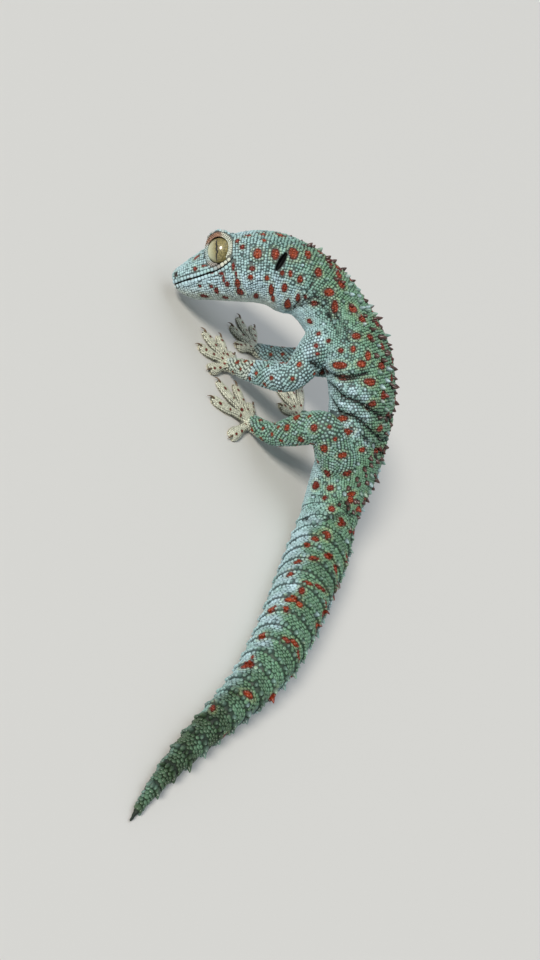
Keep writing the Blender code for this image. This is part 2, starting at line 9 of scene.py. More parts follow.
import logging
import math
from collections.abc import Sequence
from dataclasses import dataclass, field
from enum import Enum

import bpy
import numpy as np
from mathutils import Matrix, Vector
from mathutils.bvhtree import BVHTree
from mathutils.kdtree import KDTree


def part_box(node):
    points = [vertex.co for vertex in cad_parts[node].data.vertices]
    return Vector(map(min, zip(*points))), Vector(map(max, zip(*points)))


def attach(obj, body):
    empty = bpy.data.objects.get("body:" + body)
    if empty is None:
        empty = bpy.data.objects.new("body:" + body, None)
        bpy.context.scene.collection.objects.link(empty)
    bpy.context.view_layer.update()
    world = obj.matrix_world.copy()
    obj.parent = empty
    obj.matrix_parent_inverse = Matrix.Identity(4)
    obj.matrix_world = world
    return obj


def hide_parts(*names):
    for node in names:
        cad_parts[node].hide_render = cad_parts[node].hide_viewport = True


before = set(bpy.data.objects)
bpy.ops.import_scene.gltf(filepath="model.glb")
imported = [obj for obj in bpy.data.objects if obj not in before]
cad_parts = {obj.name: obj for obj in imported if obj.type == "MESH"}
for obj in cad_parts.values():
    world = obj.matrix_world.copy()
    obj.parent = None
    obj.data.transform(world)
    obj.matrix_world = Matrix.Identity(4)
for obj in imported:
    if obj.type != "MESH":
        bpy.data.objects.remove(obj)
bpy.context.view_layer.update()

MM = 0.001
TURN = 2 * math.pi
SEED = 11
BODY = "root"
LOG = logging.getLogger("gecko")

Array = np.ndarray
Table = Sequence[Sequence[float]]

# The line through the middle of the body, from the snout to the tip of the tail, as in the solids.
BODY_LINE = (
    (-41, -22, 4.6), (-36.1, -18, 17.1), (-31.2, -14.1, 29.5),
    (-25, -10, 39), (-17, -5.8, 44.6), (-8.5, -2.4, 46.3), (0, 0, 46),
    (11, 1, 45.5), (23, 1, 42.5), (34, 0, 36.8), (44, -1.5, 29),
    (52, -4.5, 21.5), (60.5, -11, 14.5), (70, -23, 10.3), (79.5, -46, 9),
    (88.5, -71, 7.9), (93.2, -92, 6.6), (94.6, -111, 5), (95.4, -128, 3.6),
    (96.6, -140, 2.4), (98.2, -149, 1.4), (100, -156, 0.7),
)
# Distance from the snout, half width, height above the line, depth below it.
GIRTH = (
    (0, 1.8, 1, 2.2), (0.8, 4.2, 2.1, 4.1), (2.5, 6, 3.1, 6.2), (6.5, 8.4, 5, 8.6),
    (13, 10.8, 7.7, 10), (19, 12.8, 9.8, 11.3), (25, 14.6, 11.6, 12.4),
    (31, 16.4, 12.2, 13), (37, 16, 11.9, 13.8), (43, 14.2, 11, 15),
    (48, 13.6, 10.4, 15), (54, 13.6, 10, 13.4), (62, 14.6, 10.3, 12.4), (72, 15.6, 11.3, 11.8),
    (88, 16.8, 12, 10.8), (102, 17, 12, 10), (116, 15.2, 11.6, 10.6),
    (128, 13, 11.4, 10.8), (140, 11, 10.4, 10), (150, 10.2, 10, 9.8),
    (165, 10.6, 9.9, 10.4), (190, 9.6, 9, 9.6), (215, 8.4, 7.9, 8.4),
    (236, 6.4, 6.2, 6.6), (254, 4.7, 4.6, 5), (271, 3.4, 3.3, 3.7),
    (282, 2.3, 2.2, 2.5), (291, 1.2, 1.1, 1.3), (296, 0.5, 0.5, 0.6),
)
ROUNDNESS = ((0, 2), (20, 2.35), (45, 2.2), (100, 2.1), (160, 2.3), (300, 2))
HEAD_END = 43.0
CHEST_END = 86.0
TAIL_START = 147.0
TAIL_TIP = 295.0
WHORL = 6.6
SKIN_DEPTH = 0.22  # the skin lies this far inside the solids, and the scales stand on it
FLOOR_CLEAR = 0.03
UNWRAP_PATCH = 0.003  # the side of one scale's patch on the bake map


class Side(Enum):
    """The two sides of the animal, as the way that its left axis is taken."""

    LEFT = 1
    RIGHT = -1


class Scale(Enum):
    """The builds of a scale: rings as (share of the half size, share of the height), then its top."""

    BEAD = ((1.0, -0.5), (0.92, 0.4), (0.66, 0.88))
    PLATE = ((1.0, -0.5), (0.94, 0.55), (0.74, 0.95))
    CONE = ((1.0, -0.45), (0.70, 0.34), (0.30, 0.82))


def smooth_table(table: Table, at: Array) -> Array:
    """Eases each column of a table between its rows without overshooting them.

    Args:
        table: rows of a place and the values there.
        at: the places to read.

    Returns:
        One row of values for each place.
    """
    rows = np.array(table)
    knots, values = rows[:, 0], rows[:, 1:]
    slope = np.diff(values, axis=0) / np.diff(knots)[:, None]
    before, after = np.vstack((slope[:1], slope)), np.vstack((slope, slope[-1:]))
    tangent = np.where(before * after <= 0, 0, (before + after) / 2)
    limit = 3 * np.minimum(np.abs(before), np.abs(after))
    tangent = np.clip(tangent, -limit, limit)
    at = np.clip(np.asarray(at, float), knots[0], knots[-1])
    i = np.clip(np.searchsorted(knots, at, side="right") - 1, 0, len(knots) - 2)
    step = np.diff(knots)[i][..., None]
    t = (at - knots[i])[..., None] / step
    low = (1 + 2 * t) * (1 - t) ** 2 * values[i] + t * (1 - t) ** 2 * step * tangent[i]
    return low + t * t * (3 - 2 * t) * values[i + 1] + t * t * (t - 1) * step * tangent[i + 1]


def spline(knots: Array, values: Array, at: Array) -> Array:
    """Reads a natural cubic spline through values at the knots.

    Args:
        knots: rising places of the values.
        values: one row for each knot.
        at: the places to read.

    Returns:
        One row for each place.
    """
    count = len(knots)
    step = np.diff(knots)
    matrix = np.eye(count)
    right = np.zeros((count, values.shape[1]))
    for i in range(1, count - 1):
        matrix[i, i - 1:i + 2] = step[i - 1], 2 * (step[i - 1] + step[i]), step[i]
        right[i] = 6 * ((values[i + 1] - values[i]) / step[i] - (values[i] - values[i - 1]) / step[i - 1])
    bend = np.linalg.solve(matrix, right)
    i = np.clip(np.searchsorted(knots, at, side="right") - 1, 0, count - 2)
    h = step[i][:, None]
    a = (knots[i + 1] - at)[:, None] / h
    b = 1 - a
    curve = a * values[i] + b * values[i + 1]
    return curve + ((a ** 3 - a) * bend[i] + (b ** 3 - b) * bend[i + 1]) * h ** 2 / 6


def unit(vectors: Array) -> Array:
    """Gives each row a length of one."""
    return vectors / np.maximum(np.linalg.norm(vectors, axis=-1, keepdims=True), 1e-9)


def ease(low: float, high: float, value: Array) -> Array:
    """Rises smoothly from 0 at low to 1 at high."""
    t = np.clip((value - low) / (high - low), 0, 1)
    return t * t * (3 - 2 * t)


def tree_of(places: Array) -> KDTree:
    """Makes places ready to be searched for the nearest one.

    Args:
        places: rows of a place, known by their numbers.

    Returns:
        The tree.
    """
    tree = KDTree(len(places))
    for number, place in enumerate(places):
        tree.insert(place, number)
    tree.balance()
    return tree


def ripple(points: Array, size: float, seed: int, waves: int = 7) -> Array:
    """A smooth random field of about -1 to 1.

    Args:
        points: places in millimetres.
        size: the size of its features in millimetres.
        seed: which field.
        waves: how many plane waves it sums.

    Returns:
        One value for each place.
    """
    draw = np.random.default_rng(seed)
    ways = unit(draw.normal(size=(waves, 3))) * draw.uniform(0.7, 1.5, (waves, 1)) * math.pi / size
    phase = draw.uniform(0, TURN, waves)
    return np.sin(points @ ways.T + phase).sum(axis=1) / math.sqrt(waves)


class Line:
    """A smooth line through a few points, read by distance from its start."""

    def __init__(self, points: Table, samples: int = 1200) -> None:
        """Spreads samples along a spline through the points."""
        knots = np.array(points)
        chord = np.concatenate(((0,), np.cumsum(np.linalg.norm(np.diff(knots, axis=0), axis=1))))
        self.points = spline(chord, knots, np.linspace(0, chord[-1], samples))
        steps = np.linalg.norm(np.diff(self.points, axis=0), axis=1)
        self.along = np.concatenate(((0,), np.cumsum(steps)))
        self.length = float(self.along[-1])
        self.ways = unit(np.gradient(self.points, self.along, axis=0))

    def at(self, distance: Array) -> Array:
        """The points at distances from the start."""
        return np.stack([np.interp(distance, self.along, self.points[:, k]) for k in range(3)], axis=-1)

    def ahead(self, distance: Array) -> Array:
        """The unit ways away from the start."""
        return unit(np.stack([np.interp(distance, self.along, self.ways[:, k]) for k in range(3)], axis=-1))


@dataclass(frozen=True)
class Bump:
    """A soft swelling or hollow of the flesh: its place, turn from the back, spreads and rise."""

    at: float
    turn: float
    long: float
    wide: float
    rise: float


@dataclass
class Body:
    """The trunk from snout to tail tip, with a frame of forward, left and up along its line."""

    straighten: tuple[float, float] = (100.0, 150.0)  # where the frame turns level
    head_station: float = 12.0  # the frame that the whole head is built in
    whorl_step: float = 1.05
    whorl_start: tuple[float, float] = (-6.0, 12.0)  # from the tail's root, where the steps grow in
    whorl_girth: float = 6.0  # a thinner tail has lower steps
    bumps: tuple[Bump, ...] = (
        Bump(9.0, 66.0, 4.5, 14.0, -0.5), Bump(12.0, 42.0, 6.0, 9.0, 0.35),
        Bump(18.0, 6.0, 8.0, 15.0, -0.6), Bump(31.0, 62.0, 6.0, 20.0, 0.4),
        Bump(30.0, 100.0, 5.0, 16.0, 0.6), Bump(41.5, 80.0, 2.4, 14.0, -0.6),
        Bump(36.0, 128.0, 2.2, 26.0, -0.7), Bump(49.0, 112.0, 3.0, 40.0, -0.6),
    )
    line: Line = field(init=False)
    frames: Array = field(init=False)
    tree: KDTree = field(init=False)

    def __post_init__(self) -> None:
        """Works out the frames once, at every sample of the line."""
        self.line = Line(BODY_LINE)
        forward = -self.line.ways
        level = unit(np.cross((0.0, 0.0, 1.0), forward))
        start, end = self.straighten
        share = np.clip((self.line.along - start) / (end - start), 0, 1)[:, None]
        left = (1 - share) * np.array((0.0, -1.0, 0.0)) + share * level
        left = unit(left - (left * forward).sum(axis=1, keepdims=True) * forward)
        self.frames = np.hstack((self.line.points, forward, left, np.cross(forward, left)))
        self.tree = tree_of(self.line.points)

    def frame(self, distance: Array) -> tuple[Array, Array, Array, Array]:
        """The middle and the forward, left and up ways at distances from the snout."""
        columns = [np.interp(distance, self.line.along, self.frames[:, k]) for k in range(12)]
        rows = np.stack(columns, axis=-1)
        return rows[..., :3], unit(rows[..., 3:6]), unit(rows[..., 6:9]), unit(rows[..., 9:])

    def reach(self, distance: Array, angle: Array) -> Array:
        """How far the skin lies from the line, for places and angles from the back to the left."""
        half, top, bottom = np.moveaxis(smooth_table(GIRTH, distance), -1, 0)
        power = smooth_table(ROUNDNESS, distance)[..., 0]
        side, high = np.abs(np.sin(angle)), np.cos(angle)
        tall = np.where(high > 0, top, bottom)
        return ((side / half) ** power + (np.abs(high) / tall) ** power) ** (-1 / power)

    def relief(self, distance: Array, angle: Array) -> Array:
        """The swellings of the head and the steps of the tail's whorls."""
        rise = np.zeros(np.broadcast(distance, angle).shape)
        turn = np.abs(np.degrees(np.arctan2(np.sin(angle), np.cos(angle))))
        for bump in self.bumps:
            far = ((distance - bump.at) / bump.long) ** 2 + ((turn - bump.turn) / bump.wide) ** 2
            rise = rise + bump.rise * np.exp(-far)
        whorl = np.mod(distance - TAIL_START, WHORL) / WHORL
        start, full = (TAIL_START + place for place in self.whorl_start)
        thick = np.clip(self.reach(distance, angle) / self.whorl_girth, 0.1, 1)
        tail = ease(start, full, distance) * thick
        return rise + self.whorl_step * tail * (whorl ** 1.5 - 0.5)

    def surface(self, distance: Array, angle: Array, rise: float = 0.0) -> Array:
        """The points of the flesh at places and angles, raised by some amount."""
        distance, angle = np.broadcast_arrays(distance, angle)
        middle, _, left, up = self.frame(distance)
        out = np.sin(angle)[..., None] * left + np.cos(angle)[..., None] * up
        reach = self.reach(distance, angle) + self.relief(distance, angle) + rise
        points = middle + out * np.maximum(reach, 0.15)[..., None]
        points[..., 2] = np.maximum(points[..., 2], FLOOR_CLEAR)
        return points

    def head_point(self, distance: Array, out: Array, height: Array) -> Array:
        """Places in the head, where the line is straight and the frame is the snout's."""
        middle, forward, left, up = self.frame(np.array(self.head_station))
        back = (self.head_station - np.asarray(distance, float))[..., None] * forward
        aside = np.asarray(out, float)[..., None] * left
        return middle + back + aside + np.asarray(height, float)[..., None] * up

    def half_width_at(self, distance: Array, height: Array) -> Array:
        """How far out the skin of the head lies at heights above the line."""
        half, top, bottom = np.moveaxis(smooth_table(GIRTH, distance), -1, 0)
        power = smooth_table(ROUNDNESS, distance)[..., 0]
        inside = np.maximum(1 - np.abs(height / np.where(height > 0, top, bottom)) ** power, 0)
        return half * inside ** (1 / power)

    def locate(self, points: Array) -> tuple[Array, Array, Array]:
        """Finds where points lie along and round the body.

        Args:
            points: places in millimetres.

        Returns:
            Their distances from the snout, angles from the back, and gaps outside the flesh.
        """
        number = np.array([self.tree.find(point)[1] for point in points])
        middle, left, up = (self.frames[number][:, k:k + 3] for k in (0, 6, 9))
        apart = points - middle
        side, high = (apart * left).sum(axis=1), (apart * up).sum(axis=1)
        distance, angle = self.line.along[number], np.arctan2(side, high)
        return distance, angle, np.hypot(side, high) - self.reach(distance, angle)


def grid_faces(rows: int, sides: int) -> Array:
    """The four-sided faces of a tube of rings, each closed on itself."""
    row, side = np.meshgrid(np.arange(rows - 1), np.arange(sides), indexing="ij")
    a, b = row * sides + side, row * sides + (side + 1) % sides
    return np.stack((a, b, b + sides, a + sides), axis=-1).reshape(-1, 4)


@dataclass
class Shape:
    """Points in millimetres with faces kept by their number of sides."""

    points: Array
    faces: list[Array]

    @classmethod
    def tube(cls, rings: Array) -> Shape:
        """A closed solid through rings of the same number of points."""
        rows, sides = rings.shape[:2]
        ends = np.array([np.arange(sides)[::-1], np.arange(sides) + (rows - 1) * sides])
        return cls(rings.reshape(-1, 3), [grid_faces(rows, sides), ends])

    @classmethod
    def ball(cls, middle: Array, axes: Array, radii: Sequence[float], rows: int = 24,
             sides: int = 36) -> Shape:
        """An ellipsoid whose radii lie along three axes, with its poles on the last one."""
        polar = np.linspace(0, math.pi, rows + 1)[1:-1]
        turn = np.arange(sides) * TURN / sides
        local = np.stack(np.broadcast_arrays(
            np.sin(polar)[:, None] * np.cos(turn), np.sin(polar)[:, None] * np.sin(turn),
            np.cos(polar)[:, None]), axis=-1).reshape(-1, 3)
        local = np.vstack((local, (0, 0, 1), (0, 0, -1)))
        sheet = grid_faces(rows - 1, sides)
        last, top, bottom = (rows - 2) * sides, len(local) - 2, len(local) - 1
        after = (np.arange(sides) + 1) % sides
        caps = np.vstack((
            np.stack((np.full(sides, top), after, np.arange(sides)), axis=1),
            np.stack((np.full(sides, bottom), last + np.arange(sides), last + after), axis=1)))
        return cls(middle + (local * radii) @ axes, [sheet[:, ::-1], caps[:, ::-1]])

    @classmethod
    def joined(cls, shapes: Sequence[Shape]) -> Shape:
        """Several shapes as one, each still closed on its own."""
        counts = np.concatenate(((0,), np.cumsum([len(shape.points) for shape in shapes])))
        faces = [group + start for shape, start in zip(shapes, counts) for group in shape.faces]
        return cls(np.vstack([shape.points for shape in shapes]), faces)

    def outward(self) -> Shape:
        """The same shape, turned so that its faces point out."""
        volume = 0.0
        for group in self.faces:
            a = self.points[group[:, 0]]
            for k in range(1, group.shape[1] - 1):
                volume += (a * np.cross(self.points[group[:, k]], self.points[group[:, k + 1]])).sum()
        return self if volume > 0 else Shape(self.points, [group[:, ::-1] for group in self.faces])


def make_object(name: str, shape: Shape, masks: dict[str, Array] | None = None) -> bpy.types.Object:
    """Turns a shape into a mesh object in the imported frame.

    Args:
        name: the object's name.
        shape: its points and faces, in millimetres.
        masks: values at its points, kept as attributes.

    Returns:
        The object, linked to the scene.
    """
    mesh = bpy.data.meshes.new(name)
    points = ((shape.points - SHIFT) * MM).astype(np.float32)
    mesh.vertices.add(len(points))
    mesh.vertices.foreach_set("co", points.ravel())
    loops = np.concatenate([group.ravel() for group in shape.faces]).astype(np.int32)
    sizes = np.concatenate([np.full(len(group), group.shape[1]) for group in shape.faces])
    mesh.loops.add(len(loops))
    mesh.loops.foreach_set("vertex_index", loops)
    mesh.polygons.add(len(sizes))
    mesh.polygons.foreach_set("loop_start", np.concatenate(((0,), np.cumsum(sizes)[:-1])).astype(np.int32))
    mesh.update(calc_edges=True)
    mesh.shade_smooth()
    for title, values in (masks or {}).items():
        kind = "FLOAT_VECTOR" if values.ndim == 2 else "FLOAT"
        kept = mesh.attributes.new(title, kind, "POINT")
        kept.data.foreach_set("vector" if values.ndim == 2 else "value", values.astype(np.float32).ravel())
    made = bpy.data.objects.new(name, mesh)
    bpy.context.scene.collection.objects.link(made)
    return made


def mesh_rows(piece: bpy.types.Object, title: str) -> Array:
    """Reads one property of an object's points.

    Args:
        piece: the object.
        title: the property, "co" for a place or "normal" for the way out.

    Returns:
        Three numbers for each point.
    """
    found = np.empty(len(piece.data.vertices) * 3, np.float32)
    piece.data.vertices.foreach_get(title, found)
    return found.reshape(-1, 3).astype(float)


def mesh_points(piece: bpy.types.Object) -> Array:
    """An object's points in the building coordinates."""
    return mesh_rows(piece, "co") / MM + SHIFT


def move_points(piece: bpy.types.Object, points: Array) -> None:
    """Puts an object's points at new places in the building coordinates."""
    piece.data.vertices.foreach_set("co", ((points - SHIFT) * MM).astype(np.float32).ravel())
    piece.data.update()


def applied(piece: bpy.types.Object) -> None:
    """Applies an object's modifiers to its mesh."""
    graph = bpy.context.evaluated_depsgraph_get()
    result = bpy.data.meshes.new_from_object(piece.evaluated_get(graph))
    piece.modifiers.clear()
    piece.data = result


def carved(piece: bpy.types.Object, cutters: Sequence[Shape]) -> None:
    """Cuts closed shapes out of an object in one step."""
    group = bpy.data.collections.new("cutters")
    bpy.context.scene.collection.children.link(group)
    tools = [make_object("cutter", shape.outward()) for shape in cutters]
    for tool in tools:
        bpy.context.scene.collection.objects.unlink(tool)
        group.objects.link(tool)
    step = piece.modifiers.new("carve", "BOOLEAN")
    step.operation = "DIFFERENCE"
    step.solver = "MANIFOLD"
    step.operand_type = "COLLECTION"
    step.collection = group
    applied(piece)
    for tool in tools:
        bpy.data.objects.remove(tool, do_unlink=True)
    bpy.data.collections.remove(group)


@dataclass
class Head:
    """What the head carries: eyes, their rings, ears, nostrils, lips and the line of the mouth."""

    body: Body
    eye_at: tuple[float, float, float] = (21.3, 8.3, 5.5)  # behind the snout, out, up
    eye_radius: float = 5.2
    eye_look: tuple[float, float, float] = (0.14, 0.96, 0.18)
    orbit_radii: tuple[float, float, float] = (5.9, 6.4, 6.0)
    orbit_back: float = 1.2
    orbit_rise: float = 0.5
    opening: tuple[float, float] = (4.15, 4.75)  # half width and half height of what shows of the ball
    rim_width: float = 0.5
    rim_out: float = 2.35
    brow_radii: tuple[float, float] = (5.0, 5.75)
    brow_widths: tuple[float, ...] = (0.35, 0.8, 1.1, 1.15, 1.0, 0.7, 0.35)
    brow_span: tuple[float, float] = (-50.0, 215.0)  # degrees round the eye that the brow covers
    brow_sink: float = 0.45
    mouth: Table = (
        (-4.0, -2.9), (0.0, -2.7), (6.0, -2.1), (11.0, -1.7), (16.0, -1.1), (19.5, -0.7), (22.5, 0.3),
        (25.0, 1.5), (26.4, 2.8),
    )
    mouth_gap: float = 0.17
    lip_rise: float = 0.9
    lip_radius: float = 0.65
    lip_taper: tuple[float, ...] = (0.5, 1.0, 1.0, 0.5)
    lip_run: tuple[float, ...] = (25.4, 23.5, 21.0, 18.0, 15.0, 12.0, 9.0, 6.5, 4.4, 2.6, 1.3, 0.6)
    ear_at: tuple[float, float] = (40.6, 4.2)
    ear_half: tuple[float, float, float] = (1.05, 3.9, 3.6)
    ear_lean: float = 71.0
    nostril_at: tuple[float, float] = (2.4, 0.8)
    nostril_radius: float = 0.6

    def axes(self) -> tuple[Array, Array, Array]:
        """Forward, left and up of the head."""
        return self.body.frame(np.array(self.body.head_station))[1:]

    def eye_axes(self, side: Side) -> Array:
        """Across, over and outward ways of an eye, as rows."""
        forward, left, up = self.axes()
        ahead, out, high = self.eye_look
        look = unit(ahead * forward + side.value * out * left + high * up)
        across = unit(np.cross(up, look))
        return np.stack((across, np.cross(look, across), look))

    def eye_middle(self, side: Side) -> Array:
        """The middle of an eyeball."""
        distance, out, height = self.eye_at
        return self.body.head_point(np.array(distance), np.array(side.value * out), np.array(height))

    def orbit(self, side: Side) -> list[Shape]:
        """The dome that carries an eye, the thin rim round it and the thick brow over them."""
        axes, middle = self.eye_axes(side), self.eye_middle(side)
        sunk = middle - self.orbit_back * axes[2] + self.orbit_rise * axes[1]
        dome = Shape.ball(sunk, axes, self.orbit_radii)
        spread = np.radians(np.linspace(*self.brow_span, 13))
        across, over = self.brow_radii
        path = np.stack((across * np.cos(spread), over * np.sin(spread) + self.orbit_rise,
                         np.full(len(spread), self.rim_out - self.brow_sink)), axis=1)
        brow = round_bar(middle + path @ axes, np.array(self.brow_widths), 14, 60)
        rows, sides = 48, 12
        turns = np.linspace(0, TURN, rows + 1)[:-1]
        tilt = np.linspace(0, TURN, sides + 1)[:-1]
        way = np.cos(turns)[:, None] * axes[0] + np.sin(turns)[:, None] * axes[1]
        core = middle + self.rim_place(turns, axes, 1.0) + self.rim_out * axes[2]
        ring = core[:, None] + self.rim_width * (
            np.cos(tilt)[None, :, None] * way[:, None] + np.sin(tilt)[None, :, None] * axes[2])
        faces = np.vstack((grid_faces(rows, sides), self.closing_faces(rows, sides)))
        return [dome.outward(), brow, Shape(ring.reshape(-1, 3), [faces]).outward()]

    def rim_place(self, turns: Array, axes: Array, widths: float) -> Array:
        """Places round an eye's opening, some widths of the rim outside its edge."""
        across, over = (half + widths * self.rim_width for half in self.opening)
        return across * np.cos(turns)[:, None] * axes[0] + over * np.sin(turns)[:, None] * axes[1]

    def eye_opening(self, side: Side) -> Shape:
        """What shows of an eyeball, as a flared plug to cut away."""
        axes, middle = self.eye_axes(side), self.eye_middle(side)
        turns = np.arange(64) * TURN / 64
        rings = [middle + self.rim_place(turns, axes, widths) + out * axes[2]
                 for out, widths in ((0.2, 0.0), (2.6, 0.0), (4.0, 0.6), (10.0, 4.0))]
        return Shape.tube(np.array(rings)).outward()

    @staticmethod
    def closing_faces(rows: int, sides: int) -> Array:
        """The faces that join the last ring of a tube to its first."""
        side = np.arange(sides)
        after = (side + 1) % sides
        last = (rows - 1) * sides
        return np.stack((last + side, last + after, after, side), axis=1)

    def lips(self) -> list[Shape]:
        """A soft roll above and below the line of the mouth, round the snout."""
        run = np.array(self.lip_run)
        rolls = []
        for rise in (self.lip_rise, -self.lip_rise):
            height = self.mouth_height(run) + rise
            out = np.maximum(self.body.half_width_at(run, height) - 0.6 * self.lip_radius, 0.5)
            left = self.body.head_point(run, out, height)
            right = self.body.head_point(run, -out, height)[::-1]
            radii = self.lip_radius * np.array(self.lip_taper)
            rolls.append(round_bar(np.vstack((left, right)), radii, 10, 64))
        return rolls

    def mouth_height(self, distance: Array) -> Array:
        """The height of the line of the mouth above the body's line."""
        return smooth_table(self.mouth, distance)[..., 0]

    def mouth_slit(self) -> Shape:
        """The thin gap between the jaws, from side to side."""
        distance = np.linspace(self.mouth[0][0], self.mouth[-1][0], 40)
        height = self.mouth_height(distance)
        gap = self.mouth_gap * np.clip((self.mouth[-1][0] - distance) / 3, 0.25, 1)
        outline = np.vstack((
            np.column_stack((distance, height + gap)), np.column_stack((distance, height - gap))[::-1]))
        sheets = [self.body.head_point(outline[:, 0], np.full(len(outline), out), outline[:, 1])
                  for out in (-24.0, 24.0)]
        return Shape.tube(np.array(sheets)).outward()

    def ear_middle(self, side: Side) -> tuple[Array, Array]:
        """The middle of an ear's slit and its across, long and outward ways, as rows."""
        place = np.array(self.ear_at[0])
        middle, forward, left, up = self.body.frame(place)
        lean = math.radians(self.ear_lean)
        long = -math.cos(lean) * forward + math.sin(lean) * up
        wide = math.sin(lean) * forward + math.cos(lean) * up
        out = self.body.half_width_at(place, np.array(self.ear_at[1]))
        at = middle + self.ear_at[1] * up + side.value * out * left
        return at, np.stack((wide, long, side.value * left))

    def nostril_middle(self, side: Side) -> Array:
        """The middle of a nostril."""
        distance, height = (np.array(value) for value in self.nostril_at)
        out = side.value * self.body.half_width_at(distance, height)
        return self.body.head_point(distance, out, height)

    def openings(self) -> list[Shape]:
        """Eye sockets, ears, nostrils and the mouth, as shapes to cut away."""
        cuts = [self.mouth_slit()]
        for side in Side:
            axes, middle = self.eye_axes(side), self.eye_middle(side)
            cuts.append(Shape.ball(middle, axes, (self.eye_radius + 0.04,) * 3, 40, 64).outward())
            cuts.append(self.eye_opening(side))
            at, ways = self.ear_middle(side)
            cuts.append(Shape.ball(at, ways, self.ear_half, 16, 24).outward())
            cuts.append(Shape.ball(self.nostril_middle(side), np.stack(self.axes()),
                                   (self.nostril_radius,) * 3, 12, 16).outward())
        return cuts


def round_bar(points: Array, radii: Array, sides: int, rings: int) -> Shape:
    """A round bar along a smooth line through points.

    Args:
        points: what the line passes through.
        radii: radii spread evenly along it.
        sides: points round it.
        rings: rings along it.

    Returns:
        The closed bar.
    """
    line = Line(points)
    place = np.linspace(0, line.length, rings)
    way = line.ahead(place)
    hint = np.where(np.abs(way[:, 2:]) < 0.9, (0.3, 0.2, 1.0), (1.0, 0.0, 0.0))
    across = unit(np.cross(way, hint))
    over = np.cross(way, across)
    radius = np.interp(place, np.linspace(0, line.length, len(radii)), radii)[:, None, None]
    turn = np.arange(sides) * TURN / sides
    turned = np.cos(turn)[:, None] * across[:, None] + np.sin(turn)[:, None] * over[:, None]
    return Shape.tube(line.at(place)[:, None] + radius * turned).outward()


# The body and head have one form that every other piece is measured from.
TRUNK = Body()
HEAD = Head(TRUNK)


def frame_shift() -> Array:
    """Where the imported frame's zero lies in the building coordinates, from the left eye's middle."""
    low, high = (np.array(corner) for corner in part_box("eye_left"))
    return HEAD.eye_middle(Side.LEFT) - (low + high) / 2 / MM


SHIFT = frame_shift()


class Girdle(Enum):
    """Fore or hind limbs: radii along the limb, then each digit's turn in degrees and its length."""

    FORE = (
        (6.4, 6.2, 5.6, 5.0, 5.4, 5.0, 4.2, 3.5, 2.8),
        ((-78.0, 10.5), (-38.0, 14.0), (0.0, 16.0), (36.0, 15.5), (76.0, 13.0)),
    )
    HIND = (
        (8.2, 8.4, 7.2, 6.0, 5.8, 5.4, 4.4, 3.7, 3.0),
        ((-70.0, 12.0), (-32.0, 17.0), (2.0, 20.0), (34.0, 20.5), (84.0, 16.0)),
    )


# Along a digit: share of its length, half width, height of its top.
DIGIT = (
    (0, 1.9, 3.4), (0.22, 1.7, 3.1), (0.42, 1.7, 2.8), (0.56, 2.25, 2.4), (0.74, 2.6, 2.1),
    (0.88, 2.4, 1.7), (0.96, 1.8, 1.3), (1, 0.9, 0.9),
)


@dataclass
class Digit:
    """One padded toe, flat on the floor, with its claw."""

    root: Array
    heading: float
    length: float
    claw_length: float = 1.5

    def ways(self) -> tuple[Array, Array]:
        """Its way out and the way across it."""
        way = np.array((math.cos(self.heading), math.sin(self.heading), 0.0))
        return way, np.array((-way[1], way[0], 0.0))

    def flesh(self) -> Shape:
        """The toe, narrow at its root and broad at its pad."""
        way, across = self.ways()
        share = np.linspace(0, 1, 26)
        half, top = smooth_table(DIGIT, share).T
        turn = np.linspace(0, math.pi, 13)
        arch = np.column_stack((np.cos(turn), 0.22 + 0.78 * np.sin(turn)))
        section = np.vstack((arch, (-0.85, 0.0), (-0.3, 0.0), (0.3, 0.0), (0.85, 0.0)))
        middle = np.array((self.root[0], self.root[1], FLOOR_CLEAR)) + (share * self.length)[:, None] * way
        out = section[None, :, :1] * half[:, None, None] * across
        rise = section[None, :, 1:] * (top - 0.15)[:, None, None] * np.array((0.0, 0.0, 1.0))
        return Shape.tube(middle[:, None] + out + rise).outward()

    def claw(self) -> Shape:
        """The curved claw over the toe's tip."""
        way, _ = self.ways()
        tip = np.array((self.root[0], self.root[1], 0.0)) + way * self.length
        steps = np.array((-1.1, -0.4, 0.25, 0.8, 1.05))
        heights = np.array((1.0, 1.45, 1.45, 1.0, 0.45))
        points = tip + np.outer(steps * self.claw_length, way) + np.outer(heights, (0, 0, 1.0))
        return round_bar(points, np.array((0.42, 0.45, 0.36, 0.22, 0.05)), 8, 16)

    def pads(self) -> list[Shape]:
        """The soft plates under the broad part of the toe, one behind another."""
        way, across = self.ways()
        plates = []
        for share in np.arange(0.48, 0.99, 0.75 / self.length):
            half, _ = smooth_table(DIGIT, np.array(share))
            middle = np.array((self.root[0], self.root[1], 0.36)) + way * self.length * share
            axes = np.stack((across, way, (0.0, 0.0, 1.0)))
            plates.append(Shape.ball(middle, axes, (half + 0.12, 0.44, 0.34), 6, 12).outward())
        return plates


def bent(points: Array, share: float = 0.3, cut: float = 0.4) -> Array:
    """A limb's points, with more at each joint so that it turns there and is straighter between.

    Args:
        points: root, joints and sole.
        share: how far along its lengths the limb bends at a joint.
        cut: how much of the corner the bend cuts off.

    Returns:
        The points of its line.
    """
    rows = [points[0]]
    for before, joint, after in zip(points, points[1:], points[2:]):
        near, far = joint + share * (before - joint), joint + share * (after - joint)
        rows += [near, cut * (near + far) / 2 + (1 - cut) * joint, far]
    return np.array(rows + [points[-1]])


